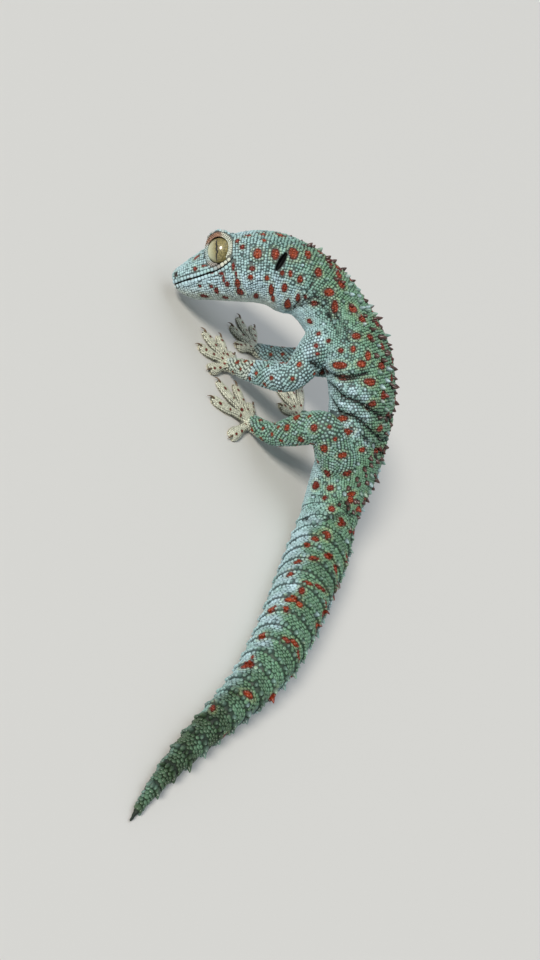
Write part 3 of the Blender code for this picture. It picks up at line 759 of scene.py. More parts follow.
@dataclass
class Limb:
    """One limb: its line from inside the trunk to the sole, and its digits."""

    name: str
    girdle: Girdle
    side: Side
    points: Table
    foot_turn: float
    line: Line = field(init=False)

    def __post_init__(self) -> None:
        """Works out the smooth line."""
        self.line = Line(bent(np.array(self.points)), 300)

    def radius(self, distance: Array) -> Array:
        """The limb's radius along its line."""
        radii = self.girdle.value[0]
        table = np.column_stack((np.linspace(0, self.line.length, len(radii)), radii))
        return smooth_table(table, distance)[..., 0]

    def ways(self, distance: Array) -> tuple[Array, Array, Array]:
        """Along, across and over the limb."""
        way = self.line.ahead(distance)
        across = unit(np.cross(way, (0.0, 0.0, 1.0)))
        return way, across, np.cross(across, way)

    def surface(self, distance: Array, angle: Array, rise: float = 0.0) -> Array:
        """The points of the limb's flesh."""
        distance, angle = np.broadcast_arrays(distance, angle)
        _, across, over = self.ways(distance)
        reach = (self.radius(distance) + rise)[..., None]
        out = np.cos(angle)[..., None] * across + np.sin(angle)[..., None] * over
        points = self.line.at(distance) + reach * out
        points[..., 2] = np.maximum(points[..., 2], FLOOR_CLEAR)
        return points

    def digits(self) -> list[Digit]:
        """The five digits, spread over the floor."""
        sole = np.array(self.points[3])
        turn = math.pi + math.radians(self.foot_turn)
        return [Digit(sole, turn + self.side.value * math.radians(angle), length)
                for angle, length in self.girdle.value[1]]

    def flesh(self) -> list[Shape]:
        """The limb's tube and its digits."""
        place = np.linspace(0, self.line.length, 110)[:, None]
        turn = (np.arange(32) * TURN / 32)[None]
        tube = Shape.tube(self.surface(place, turn, -SKIN_DEPTH)).outward()
        return [tube] + [digit.flesh() for digit in self.digits()]

    def locate(self, points: Array) -> tuple[Array, Array]:
        """How far along the limb points lie, and how far outside its flesh."""
        samples = self.line.points[::4]
        best = np.full(len(points), np.inf)
        number = np.zeros(len(points), int)
        for k, sample in enumerate(samples):
            apart = ((points - sample) ** 2).sum(axis=1)
            closer = apart < best
            best[closer], number[closer] = apart[closer], k
        along = self.line.along[::4][number]
        return along, np.sqrt(best) - self.radius(along)


LIMBS = (
    Limb("arm_left", Girdle.FORE, Side.LEFT,
         ((4, -8, 42), (13.5, -20.5, 28.5), (1.5, -13.5, 10), (-4.5, -10.5, 2.6)), 12),
    Limb("arm_right", Girdle.FORE, Side.RIGHT,
         ((4, 10, 42), (13.5, 22, 28), (-1, 16.5, 9.5), (-8, 14, 2.6)), -12),
    Limb("leg_left", Girdle.HIND, Side.LEFT,
         ((50, -8, 24), (33, -22, 32), (27.5, -18.5, 9.5), (19, -16, 2.6)), 14),
    Limb("leg_right", Girdle.HIND, Side.RIGHT,
         ((50, 3, 24), (35, 20.5, 32), (32, 22, 9), (24, 23.5, 2.6)), -20),
)


@dataclass(frozen=True)
class View:
    """The camera, at the photograph's angle: its place, its right, up and back ways, and its lens."""

    place: tuple[float, float, float] = (41.6, -310.4, 168.4)
    right: tuple[float, float, float] = (0.454, 0.4455, 0.7716)
    up: tuple[float, float, float] = (-0.891, 0.227, 0.393)
    back: tuple[float, float, float] = (0.0, -0.866, 0.5)
    lens: float = 33.75
    sensor: float = 36.0
    wide: float = 540.0
    tall: float = 960.0

    def focal(self) -> float:
        """The lens in pixels of the photograph's frame."""
        return self.lens / self.sensor * self.tall

    def ray(self, x: float, y: float) -> Array:
        """The way from the camera through a pixel."""
        right, up, back = (np.array(way) for way in (self.right, self.up, self.back))
        return unit((x - self.wide / 2) * right + (self.tall / 2 - y) * up - self.focal() * back)

    def make(self) -> None:
        """Creates the camera and makes it the scene's own."""
        data = bpy.data.cameras.new("camera")
        data.lens, data.sensor_width, data.sensor_fit = self.lens, self.sensor, "AUTO"
        data.clip_start, data.clip_end = 0.01, 10.0
        camera = bpy.data.objects.new("camera", data)
        bpy.context.scene.collection.objects.link(camera)
        turned = Matrix((self.right, self.up, self.back)).transposed().to_4x4()
        camera.matrix_world = Matrix.Translation(Vector((np.array(self.place) - SHIFT) * MM)) @ turned
        bpy.context.scene.camera = camera


VIEW = View()


@dataclass
class Skin:
    """The one skin over all the flesh, from the swept forms to the carved openings."""

    voxel: float = 0.5
    soften_rounds: int = 2
    blend_rounds: int = 14
    blend_reach: float = 2.6
    piece: bpy.types.Object = field(init=False)
    tree: BVHTree = field(init=False)
    normals: Array = field(init=False)
    corners: list[tuple[int, ...]] = field(init=False)

    def forms(self) -> Shape:
        """The trunk, orbits, lips, limbs and toes, each closed and sunk in the next."""
        snout = np.linspace(0.0, 3.0, 12)[:-1]
        place = np.concatenate((snout, np.arange(3.0, TAIL_TIP + 0.8, 0.5)))[:, None]
        turn = (np.arange(128) * TURN / 128)[None]
        forms = [Shape.tube(TRUNK.surface(place, turn, -SKIN_DEPTH)).outward()] + HEAD.lips()
        for side in Side:
            forms += HEAD.orbit(side)
        for limb in LIMBS:
            forms += limb.flesh()
        return Shape.joined(forms)

    def build(self, creases: Creases) -> None:
        """Fuses the forms, blends the roots of the limbs and presses in the folds.

        Args:
            creases: the folds.
        """
        self.piece = make_object("skin", self.forms())
        fuse = self.piece.modifiers.new("fuse", "REMESH")
        fuse.mode = "VOXEL"
        fuse.voxel_size = self.voxel * MM
        applied(self.piece)
        points = mesh_points(self.piece)
        edges = np.empty(len(self.piece.data.edges) * 2, np.int32)
        self.piece.data.edges.foreach_get("vertices", edges)
        edges = edges.reshape(-1, 2)
        weight = self.near_roots(points)
        for turn in range(self.blend_rounds):
            share = np.where(turn < self.soften_rounds, 0.5, 0.5 * weight)[:, None]
            points += share * (self.neighbour_mean(points, edges) - points)
        points[:, 2] = np.maximum(points[:, 2], FLOOR_CLEAR)
        move_points(self.piece, points)
        self.index()
        creases.find(self)
        points -= creases.depth(points)[:, None] * mesh_rows(self.piece, "normal")
        points[:, 2] = np.maximum(points[:, 2], FLOOR_CLEAR)
        move_points(self.piece, points)
        creases.sink()
        self.index()

    def near_roots(self, points: Array) -> Array:
        """How much each point belongs to the meeting of a limb and the trunk."""
        _, _, body_gap = TRUNK.locate(points)
        weight = np.zeros(len(points))
        for limb in LIMBS:
            _, gap = limb.locate(points)
            near = ease(self.blend_reach, 0.3, np.abs(body_gap)) * ease(self.blend_reach, 0.3, np.abs(gap))
            weight = np.maximum(weight, near)
        return weight

    @staticmethod
    def neighbour_mean(points: Array, edges: Array) -> Array:
        """The mean of the points that each point is joined to."""
        count = np.bincount(edges.ravel(), minlength=len(points))
        total = np.stack([
            np.bincount(edges[:, 0], weights=points[edges[:, 1], k], minlength=len(points))
            + np.bincount(edges[:, 1], weights=points[edges[:, 0], k], minlength=len(points))
            for k in range(3)], axis=1)
        return total / np.maximum(count, 1)[:, None]

    def index(self) -> None:
        """Makes the skin ready to be searched."""
        mesh = self.piece.data
        points = mesh_points(self.piece)
        self.corners = [tuple(face.vertices) for face in mesh.polygons]
        self.tree = BVHTree.FromPolygons(points.tolist(), self.corners)
        self.normals = mesh_rows(self.piece, "normal")

    def cast(self, origins: Array, ways: Array, longest: float) -> tuple[Array, Array, Array]:
        """Looks from points along ways for the skin.

        Args:
            origins: where each look starts.
            ways: its way.
            longest: how far it looks.

        Returns:
            Whether each look meets the outside of the skin, where, and the way out of the skin there.
        """
        places, out = np.zeros_like(origins), np.zeros_like(origins)
        met = np.zeros(len(origins), bool)
        for k, (origin, way) in enumerate(zip(origins, ways)):
            place, normal, number, _ = self.tree.ray_cast(origin, way, longest)
            if place is None or normal.dot(Vector(way)) > 0:
                continue
            met[k] = True
            places[k] = place
            out[k] = self.normals[list(self.corners[number])].mean(axis=0)
        return met, places, unit(out)


# Folds of the skin on the near side, as pixels of the photograph's 540 x 960 frame: depth, width, line.
FOLDS = (
    (1.6, 1.5, ((311.6, 361.8), (322, 370), (333, 376), (352, 377.4), (368, 373))),
    (1.8, 1.5, ((318, 378), (331, 386.4), (341, 396), (359, 402.4), (375, 412),
                (393, 422))),
    (1.6, 1.4, ((331, 400), (339, 412), (355, 418), (371, 430), (387, 443))),
    (1.2, 1.3, ((363.5, 436.3), (374.7, 447), (386, 458))),
    (0.9, 1.2, ((291, 312), (303, 302), (321.5, 298), (334.2, 312.3), (345.2, 327.6),
                (348.6, 340.3))),
    (0.9, 1.2, ((301, 306), (318, 304), (329, 316), (338, 334))),
    (0.8, 1.2, ((283, 316), (303, 297), (310.6, 286), (315, 276))),
    (0.9, 1.3, ((303, 519), (315, 520), (330, 518), (346, 514), (360, 516))),
    (0.5, 0.8, ((236, 259), (243, 257), (251, 262), (260, 262))),
    (0.5, 0.8, ((202.6, 249), (203.4, 255), (206, 261))),
)
# Dark-edged red and orange spots on the near side: x, y, half width, half height, warmth, in pixels.
HEAD_SPOTS = (
    (176, 274.6, 1.6, 2.6, 0), (197, 258, 3.4, 2, 0.2), (195.5, 269, 2.4, 2.6, 0.1),
    (204.5, 266, 3.4, 1.3, 0.3), (211, 272.8, 3, 0.9, 0), (190.5, 278.6, 2.2, 1, 0),
    (242.4, 247.4, 2.8, 3, 0.1), (257.4, 253.6, 5, 5.6, 0.7), (248, 236.2, 3.4, 1.8, 0.3),
    (263, 235, 3.8, 2.4, 0.5), (264, 241, 2.8, 2, 0.5), (237.5, 241.5, 2.6, 3, 0.2),
    (280, 235.6, 5, 3.4, 0.6), (275, 254, 4.8, 6.6, 0.45), (293.2, 253.6, 5.8, 7.2, 0.6),
    (307.6, 255, 3.6, 6.2, 0.5), (320, 253, 3.8, 3, 0.3), (252, 268.6, 3.6, 2.8, 0.1),
    (250.6, 277, 3.2, 2.8, 0.4), (233.6, 266.5, 1.8, 4.6, 0), (236.5, 274.5, 1.4, 3.2, 0),
    (237.8, 283, 3.2, 4.2, 0.35), (240.4, 291.6, 4.2, 3.4, 0.1), (221.6, 273.4, 3, 1.8, 0.1),
    (224, 279, 1.8, 3.4, 0.1), (227.5, 284, 2.6, 2.6, 0.1), (216.6, 290.6, 2.4, 2.8, 0),
    (211.5, 286, 2.6, 1.8, 0), (200, 285.6, 2, 1.6, 0), (225.6, 297, 3.6, 2.6, 0.2),
    (205, 295.5, 5, 2.4, 0), (256, 295.6, 2.8, 3.4, 0.2), (266.8, 278, 2.8, 2.8, 0.6),
    (282, 273, 2.8, 3.2, 0.3), (290.4, 273.6, 2.6, 4, 0.3), (300, 279.4, 3.6, 4, 0.35),
    (271, 290, 3, 5, 0.35), (273, 298.4, 2.4, 3.2, 0.35), (284.4, 288, 3.4, 4.2, 0.35),
    (287.4, 304, 4, 5.4, 0.4), (298, 298, 2.8, 4.4, 0.3), (305.6, 297, 2, 2.8, 0.1),
)
NECK_SPOTS = (
    (318, 272.4, 4.4, 5, 0.4), (338, 275, 3.6, 5, 0.4), (341, 284.4, 4.4, 4.8, 0.4),
    (329, 292.4, 6.2, 4.4, 0.5), (334.6, 307, 4, 6.8, 0.4), (314.6, 303, 5, 2.6, 0.2),
    (329, 263, 3.6, 3.4, 0.3), (352.4, 309, 4.8, 4.8, 0.4), (361.4, 319, 4.4, 4.4, 0.35),
    (376, 323, 3.6, 5, 0.1), (356, 336.4, 5.6, 4, 0.45), (369.4, 337.4, 3.8, 3.6, 0.2),
    (353, 349.4, 3.2, 4, 0.35), (361, 364, 5.2, 4.4, 0.5), (367.4, 356, 3.6, 5.6, 0.5),
    (382, 347, 2.8, 4.4, 0.2), (381, 366, 4, 4.4, 0.3), (339, 365.6, 7.6, 4.2, 0.45),
    (344, 377.4, 6.8, 3.2, 0.3), (369.4, 382, 7, 4.6, 0.4), (383, 395.6, 3.6, 5.2, 0.3),
    (372, 404, 4.8, 3.6, 0.3), (366, 408.6, 2.6, 2.4, 0.3), (342, 419, 6.4, 3.6, 0.5),
    (379.6, 428.4, 3.6, 3.6, 0.3), (346, 432, 3.6, 3.6, 0.4), (375, 451, 4.4, 3.6, 0.3),
    (362, 449.4, 4, 3, 0.3), (342, 455, 5.6, 3.6, 0.6), (391, 378, 2.6, 4, 0.1),
    (387, 415, 2.6, 3.4, 0.1),
)
LIMB_SPOTS = (
    (296.8, 417.6, 4, 3.2, 0.4), (287.4, 427.6, 3.2, 4, 0.4), (314, 428, 4, 4.6, 0.3),
    (329.4, 427, 2.8, 2.4, 0.3), (301, 439.6, 3.6, 3.2, 0.3), (324, 448, 4, 4.6, 0.5),
    (335, 439, 2.8, 2.8, 0.3), (310, 321, 3.4, 2.4, 0.1), (318.6, 334, 2.6, 2.6, 0.1),
    (329, 341, 2.6, 2.4, 0.1), (341, 350.4, 3.2, 2.8, 0.1), (316, 346, 2.8, 2.8, 0.1),
    (317.4, 354, 3, 2.2, 0.1),
)
HIP_SPOTS = (
    (327, 472.6, 4, 3.6, 0.2), (347, 473, 5, 3.2, 0.3), (316, 485.6, 3.6, 5, 0.1),
    (330.6, 488, 4.4, 3.6, 0.2), (325, 498.4, 2.8, 2.8, 0.1), (351, 494, 5.2, 3.2, 0.4),
    (331.4, 509.4, 4.2, 3.6, 0.2), (357.4, 509, 3.2, 3.6, 0.4), (367, 499, 2.4, 3.6, 0.3),
)
TAIL_SPOTS = (
    (341, 524, 5.6, 3, 0.2), (350.4, 530.4, 2.2, 3.6, 0.1), (326.4, 535, 5.2, 4, 0.4),
    (315, 540, 5, 3, 0.4), (307.6, 545, 3.6, 2.8, 0.4), (327.6, 556.4, 5.2, 3.6, 0.3),
    (313.6, 558.4, 6.4, 2.8, 0.35), (297.6, 562.4, 4.8, 2.6, 0.4), (290, 575.4, 4, 2.8, 0.3),
    (308, 583.6, 6, 2.2, 0.4), (320, 588.4, 6, 2.2, 0.2), (291, 600, 8, 3.4, 0.6),
    (299, 605, 4, 3, 0.7), (286, 609, 3.6, 2.8, 0.4), (272.4, 609, 5, 3.2, 0.4),
    (323, 613, 4, 3.2, 0.2), (262.5, 636, 5, 3, 0.4), (286, 640.6, 5, 2.4, 0.3),
    (294, 643.6, 5, 3.2, 0.5), (252.5, 658, 2.5, 3, 0.2), (247.5, 666, 7.5, 3.6, 0.3),
    (247.5, 695, 6, 3.4, 0.5), (212.5, 709, 3.4, 4.4, 0.2),
)
# Pale blue strips between the folds of the flank: x, y, half width, half height, in pixels.
PALE_STRIPS = (
    (330, 381, 7, 5), (340, 386, 8, 6), (352, 392, 8, 5), (364, 398, 7, 4),
    (341, 403, 7, 5), (352, 409, 8, 5), (364, 418, 7, 5), (347, 425, 7, 5),
    (356, 433, 7, 5), (366, 442, 6, 4), (318, 463, 7, 8), (316, 478, 6, 7),
)


@dataclass
class Creases:
    """The folds pressed into the skin, on both sides."""

    points: Array = field(init=False)
    depths: Array = field(init=False)
    widths: Array = field(init=False)
    out: Array = field(init=False)

    def find(self, skin: Skin) -> None:
        """Puts each fold's line on the skin, and its mirror image on the far side."""
        rows = []
        for depth, width, line in FOLDS:
            pixels = np.array(line)
            chord = np.concatenate(((0,), np.cumsum(np.linalg.norm(np.diff(pixels, axis=0), axis=1))))
            places = spline(chord, pixels, np.linspace(0, chord[-1], int(chord[-1] / 2)))
            found = near_side(skin, places)[1]
            both = np.vstack((found, mirrored(found)))
            rows.append(np.column_stack((both, np.full(len(both), depth), np.full(len(both), width))))
        kept = np.vstack(rows)
        self.points, self.depths, self.widths = kept[:, :3], kept[:, 3], kept[:, 4]
        faces = [skin.tree.find_nearest(place)[2] for place in self.points]
        self.out = unit(np.array([skin.normals[list(skin.corners[face])].mean(axis=0) for face in faces]))

    def sink(self) -> None:
        """Moves the folds' lines to the bottoms that they have pressed."""
        self.points = self.points - self.depths[:, None] * self.out

    def depth(self, points: Array) -> Array:
        """How far each point is pressed in."""
        pressed = np.zeros(len(points))
        for place, depth, width in zip(self.points, self.depths, self.widths):
            far = ((points - place) ** 2).sum(axis=1) / width ** 2
            pressed = np.maximum(pressed, depth * np.exp(-far))
        return pressed

    def line(self, points: Array, share: float = 0.32) -> Array:
        """How near each point is to the bottom of a fold, where the painted shade is darkest."""
        near = np.zeros(len(points))
        for place, width in zip(self.points, self.widths):
            near = np.maximum(near, np.exp(-((points - place) ** 2).sum(axis=1) / (share * width) ** 2))
        return near


def near_side(skin: Skin, pixels: Array) -> tuple[Array, Array, Array]:
    """Finds where pixels of the photograph fall on the skin.

    Args:
        skin: the skin to look for.
        pixels: rows of x and y in the photograph's frame.

    Returns:
        The numbers of the pixels that meet it, the places and the ways out of the skin.
    """
    ways = np.array([VIEW.ray(x, y) for x, y in pixels[:, :2]])
    origins = np.tile(np.array(VIEW.place), (len(ways), 1))
    met, places, out = skin.cast(origins, ways, 1000.0)
    return np.nonzero(met)[0], places[met], out[met]


def mirrored(places: Array) -> Array:
    """The same places on the other side of the body's line."""
    distance, _, _ = TRUNK.locate(places)
    middle, _, left, _ = TRUNK.frame(distance)
    side = ((places - middle) * left).sum(axis=1, keepdims=True)
    return places - 2 * side * left


@dataclass
class Markings:
    """The animal's pattern and the painted shade of its folds and openings, painted alike on the skin and on
    every scale.
    """

    skin: Skin
    creases: Creases
    spread: float = 0.36  # millimetres for a pixel at the body
    midline: float = 14.0  # degrees from the back inside which a spot has no twin
    limb_clear: float = 4.0  # a guessed spot keeps this far from a seen one
    middles: Array = field(init=False)
    long_ways: Array = field(init=False)
    wide_ways: Array = field(init=False)
    halves: Array = field(init=False)
    warmth: Array = field(init=False)
    strips: list[tuple[Array, float]] = field(init=False)

    def __post_init__(self) -> None:
        """Puts the spots on the near side, then their kin on the far side and on the far limbs."""
        rows = np.array(HEAD_SPOTS + NECK_SPOTS + LIMB_SPOTS + HIP_SPOTS + TAIL_SPOTS, float)
        number, places, out = near_side(self.skin, rows)
        rows = rows[number]
        LOG.info("spots: %d of them on the near side", len(rows))
        right, up = np.array(VIEW.right), np.array(VIEW.up)
        wide = unit(right - (out @ right)[:, None] * out)
        tall = unit(up - (out @ up)[:, None] * out - (wide @ up)[:, None] * wide)
        spread = np.linalg.norm(places - np.array(VIEW.place), axis=1) / VIEW.focal()
        stretch = np.column_stack((np.abs(wide @ right), np.abs(tall @ up)))
        halves = rows[:, 2:4] * spread[:, None] / np.clip(stretch, 0.6, 1)
        distance, angle, gap = TRUNK.locate(places)
        draw = np.random.default_rng(SEED)
        on_trunk = (gap < 2.0) & (np.abs(np.degrees(angle)) > self.midline)
        far_places, far_wide, far_tall = self.far_side(
            places[on_trunk], wide[on_trunk], tall[on_trunk], distance[on_trunk], draw)
        limb_rows = self.limb_spots(draw)
        apart = np.linalg.norm(limb_rows[0][:, None] - places[None], axis=2).min(axis=1)
        limb_rows = tuple(column[apart > self.limb_clear] for column in limb_rows)
        self.middles = np.vstack((places, far_places, limb_rows[0]))
        self.wide_ways = np.vstack((wide, far_wide, limb_rows[1]))
        self.long_ways = np.vstack((tall, far_tall, limb_rows[2]))
        self.halves = np.vstack((halves, halves[on_trunk], limb_rows[3]))
        self.warmth = np.concatenate((rows[:, 4], rows[on_trunk, 4], limb_rows[4]))
        strips = np.array(PALE_STRIPS, float)
        number, places, _ = near_side(self.skin, strips)
        both = np.vstack((places, mirrored(places)))
        sizes = np.tile(strips[number, 2:].mean(axis=1) * self.spread, 2)
        self.strips = list(zip(both, sizes))

    @staticmethod
    def far_side(places: Array, wide: Array, tall: Array, distance: Array,
                 draw: np.random.Generator) -> tuple[Array, Array, Array]:
        """The near side's spots mirrored and shifted a little."""
        _, forward, left, up = TRUNK.frame(distance)
        flip = -2 * left[:, :, None] * left[:, None, :] + np.eye(3)
        shift = draw.normal(0, 1.1, (len(places), 1)) * forward + draw.normal(0, 0.8, (len(places), 1)) * up
        moved = mirrored(places) + shift
        return moved, np.einsum("nij,nj->ni", flip, wide), np.einsum("nij,nj->ni", flip, tall)

    @staticmethod
    def limb_spots(draw: np.random.Generator) -> tuple[Array, Array, Array, Array, Array]:
        """Spots spread along the limbs of the far side and the hidden sides of the near ones.

        Args:
            draw: the source of chance.

        Returns:
            Places, two ways, half sizes and warmth.
        """
        rows: list[tuple[Array, ...]] = []
        for limb in LIMBS:
            for number, place in enumerate(np.arange(11.0, limb.line.length - 3, 4.4)):
                for turn in np.arange(0.4, TURN, 1.25):
                    at = np.array(place + draw.uniform(-0.9, 0.9))
                    angle = np.array(turn + 0.6 * (number % 2) + draw.uniform(-0.2, 0.2))
                    half = draw.uniform(0.75, 1.15)
                    way, across, over = limb.ways(at)
                    side = -np.sin(angle) * across + np.cos(angle) * over
                    flesh = limb.surface(at, angle)
                    rows.append((flesh, way, side, np.array((half, half)), draw.uniform(0.3, 0.6)))
            for digit in limb.digits():
                way, across = digit.ways()
                for share in (0.3, 0.56, 0.8):
                    out = draw.uniform(-0.8, 0.8)
                    at = np.array((*digit.root[:2], 2.6)) + way * digit.length * share + out * across
                    rows.append((at, way, across, draw.uniform(0.5, 0.85, 2), 0.0))
        return tuple(np.array(column) for column in zip(*rows))

    def spots(self, points: Array) -> tuple[Array, Array]:
        """How far each point is inside a spot, and that spot's warmth.

        Args:
            points: places in millimetres.

        Returns:
            A distance of 1 at a spot's edge, and a warmth.
        """
        best = np.full(len(points), 9.0)
        warm = np.full(len(points), 0.4)
        rough = 0.07 * ripple(points, 2.2, SEED)
        for place, wide, long, half, warmth in zip(
                self.middles, self.wide_ways, self.long_ways, self.halves, self.warmth):
            apart = points - place
            near = np.nonzero((np.abs(apart) < 3.2 * half.max()).all(axis=1))[0]
            if not len(near):
                continue
            apart = apart[near]
            far = np.hypot(apart @ wide / half[0], apart @ long / half[1])
            deep = np.abs(apart @ np.cross(wide, long)) / 3.5
            far = np.maximum(far, deep) + rough[near]
            closer = far < best[near]
            best[near[closer]] = far[closer]
            warm[near[closer]] = warmth
        return best, warm

    @staticmethod
    def holes(points: Array) -> Array:
        """How much painted shade the inside of an ear, a nostril or the mouth puts on each point."""
        dark = np.zeros(len(points))
        middle, forward, _, up = TRUNK.frame(np.array(TRUNK.head_station))
        back = TRUNK.head_station - (points - middle) @ forward
        height = (points - middle) @ up
        in_mouth = np.abs(height - HEAD.mouth_height(back)) < 1.3 * HEAD.mouth_gap
        in_mouth &= back < HEAD.mouth[-1][0]
        dark[in_mouth & (np.linalg.norm(points - middle, axis=1) < 22)] = 1
        for side in Side:
            at, ways = HEAD.ear_middle(side)
            local = (points - at) @ ways.T / (np.array(HEAD.ear_half) + 0.05)
            dark[(local ** 2).sum(axis=1) < 1] = 1
            near = np.linalg.norm(points - HEAD.nostril_middle(side), axis=1)
            dark[near < HEAD.nostril_radius + 0.05] = 1
        return dark

    @staticmethod
    def limb_share(points: Array, gap: Array) -> tuple[Array, Array]:
        """How much points belong to a limb, and whether the nearest one is a hind limb.

        Args:
            points: places in millimetres.
            gap: how far each lies outside the trunk.

        Returns:
            The share of a limb, and 1 for a hind one.
        """
        limb_gap = np.full(len(points), np.inf)
        hind = np.zeros(len(points))
        for limb in LIMBS:
            _, apart = limb.locate(points)
            closer = apart < limb_gap
            limb_gap[closer] = apart[closer]
            hind[closer] = limb.girdle is Girdle.HIND
        return ease(0.2, 1.4, gap) * (limb_gap < gap + 1.0), hind

    @staticmethod
    def rim_colours(points: Array) -> tuple[Array, Array]:
        """The colours of the rings round both eyes, cream behind and rusty above and below.

        Args:
            points: places in millimetres.

        Returns:
            How cream and how rusty each point is.
        """
        cream, rust = np.zeros(len(points)), np.zeros(len(points))
        forward = HEAD.axes()[0]
        for side in Side:
            axes = HEAD.eye_axes(side)
            apart = points - HEAD.eye_middle(side)
            across, over = (apart @ way / half for way, half in zip(axes[:2], HEAD.opening))
            ring = ease(1.5, 1.36, np.hypot(across, over)) * (apart @ axes[2] > 0.5)
            ring = ring * ease(-1.45, -1.15, over)
            behind = -across * np.sign(axes[0] @ forward)
            cream = np.maximum(cream, 0.85 * ring * (0.35 + 0.65 * ease(-0.5, 0.5, behind)))
            rust = np.maximum(rust, 0.85 * ring * ease(0.25, 0.8, over) * ease(0.75, 0.1, behind))
            rust = np.maximum(rust, 0.5 * ring * ease(-0.5, -0.95, over) * ease(0.6, -0.2, behind))
        return cream, rust

    def masks(self, points: Array, draw: np.random.Generator, groups: Array | None = None,
              mesh: Array | None = None) -> dict[str, Array]:
        """Everything that the finishes read at some points.

        Args:
            points: the places of the skin's points or the scales' roots.
            draw: the source of each scale's own tint.
            groups: for scales, the number of the root that each mesh point belongs to.
            mesh: for scales, the mesh points themselves, where the spots are read.

        Returns:
            The masks by name, one value for each mesh point.
        """
        distance, angle, gap = TRUNK.locate(points)
        turn = np.abs(np.degrees(angle))
        on_limb, hind = self.limb_share(points, gap)
        patch = ripple(points, 5.0, SEED + 1)
        fine = ripple(points, 1.4, SEED + 2)
        head = 1 - ease(HEAD_END - 4, HEAD_END + 8, distance)
        tail = ease(TAIL_START - 8, TAIL_START + 16, distance)
        tip = ease(TAIL_START + 82, TAIL_START + 118, distance + 5 * patch)
        back = (1 - ease(38, 88, turn + 7 * patch)) * (1 - head) * (1 - on_limb)
        back = np.maximum(back, on_limb * hind * (0.75 + 0.2 * patch))
        belly = ease(78, 118, turn + 5 * patch)
        pale = np.clip(0.75 * belly * (1 - 0.4 * tail) + 0.4 * head * ease(60, 100, turn), 0, 1)
        pale = np.maximum(pale, (0.62 + 0.12 * patch) * (1 - ease(28, 41, distance)))
        limb_pale = np.where(hind > 0, 0.16 + 0.2 * fine + 0.12 * patch, 0.6 + 0.25 * patch)
        pale = np.where(on_limb > 0.5, np.clip(limb_pale, 0, 1), pale)
        band = ease(38, 72, turn + 9 * patch) * tail * (1 - tip) * (0.7 + 0.25 * patch)
        pale = np.clip(np.maximum(pale, band), 0, 1)
        for place, size in self.strips:
            near = np.exp(-((points - place) ** 2).sum(axis=1) / size ** 2)
            pale = np.maximum(pale, 0.95 * near)
        toes = ease(4.6, 2.8, points[:, 2]) * (distance < TAIL_START) * (gap > 2.5)
        cream, rust = self.rim_colours(points)
        chin = head * ease(112, 150, turn)
        cream = np.maximum.reduce((cream, np.clip(toes, 0, 1), 0.55 * chin))
        cloud = 0.5 + 0.5 * np.cos((distance - TAIL_START - 16) / 19.0 * TURN)
        dark = tail * (0.08 + 0.3 * cloud) * ease(100, 45, turn) + tip * (0.7 + 0.25 * patch) + 0.12 * fine
        values = {
            "pale": np.clip(pale + 0.1 * fine, 0, 1),
            "green": np.clip(back + 0.15 * fine * back, 0, 1),
            "cream": cream,
            "rust": rust,
            # Painted shade along the folds, darkest at their bottoms.
            "shade": np.clip(0.4 * self.creases.depth(points) + 0.9 * self.creases.line(points), 0, 1),
            "dark": np.clip(dark, 0, 1),
            "tint": draw.uniform(0, 1, len(points)),
            # Painted shade inside the ears, nostrils and mouth.
            "hole_shade": self.holes(points),
        }
        if groups is not None:
            values = {name: value[groups] for name, value in values.items()}
        far, warm = self.spots(points if mesh is None else mesh)
        return values | {
            "spot": 1 - ease(0.86, 1.04, far),
            "core": 1 - ease(0.45, 0.98, far),
            "halo": ease(0.95, 1.1, far) * (1 - ease(1.2, 1.7, far)),
            "warm": np.clip(warm, 0, 1),
        }


@dataclass
class Roots:
    """Where scales stand: places on the skin, ways out, ways back along the scale, and an unwrap."""

    places: Array
    out: Array
    back: Array
    unwrap: Array

    def kept(self, mask: Array) -> Roots:
        """The roots that a mask keeps."""
        return Roots(self.places[mask], self.out[mask], self.back[mask], self.unwrap[mask])

    @staticmethod
    def joined(parts: Sequence[Roots]) -> Roots:
        """Several sets of roots as one."""
        return Roots(*(np.vstack([getattr(part, name) for part in parts])
                       for name in ("places", "out", "back", "unwrap")))


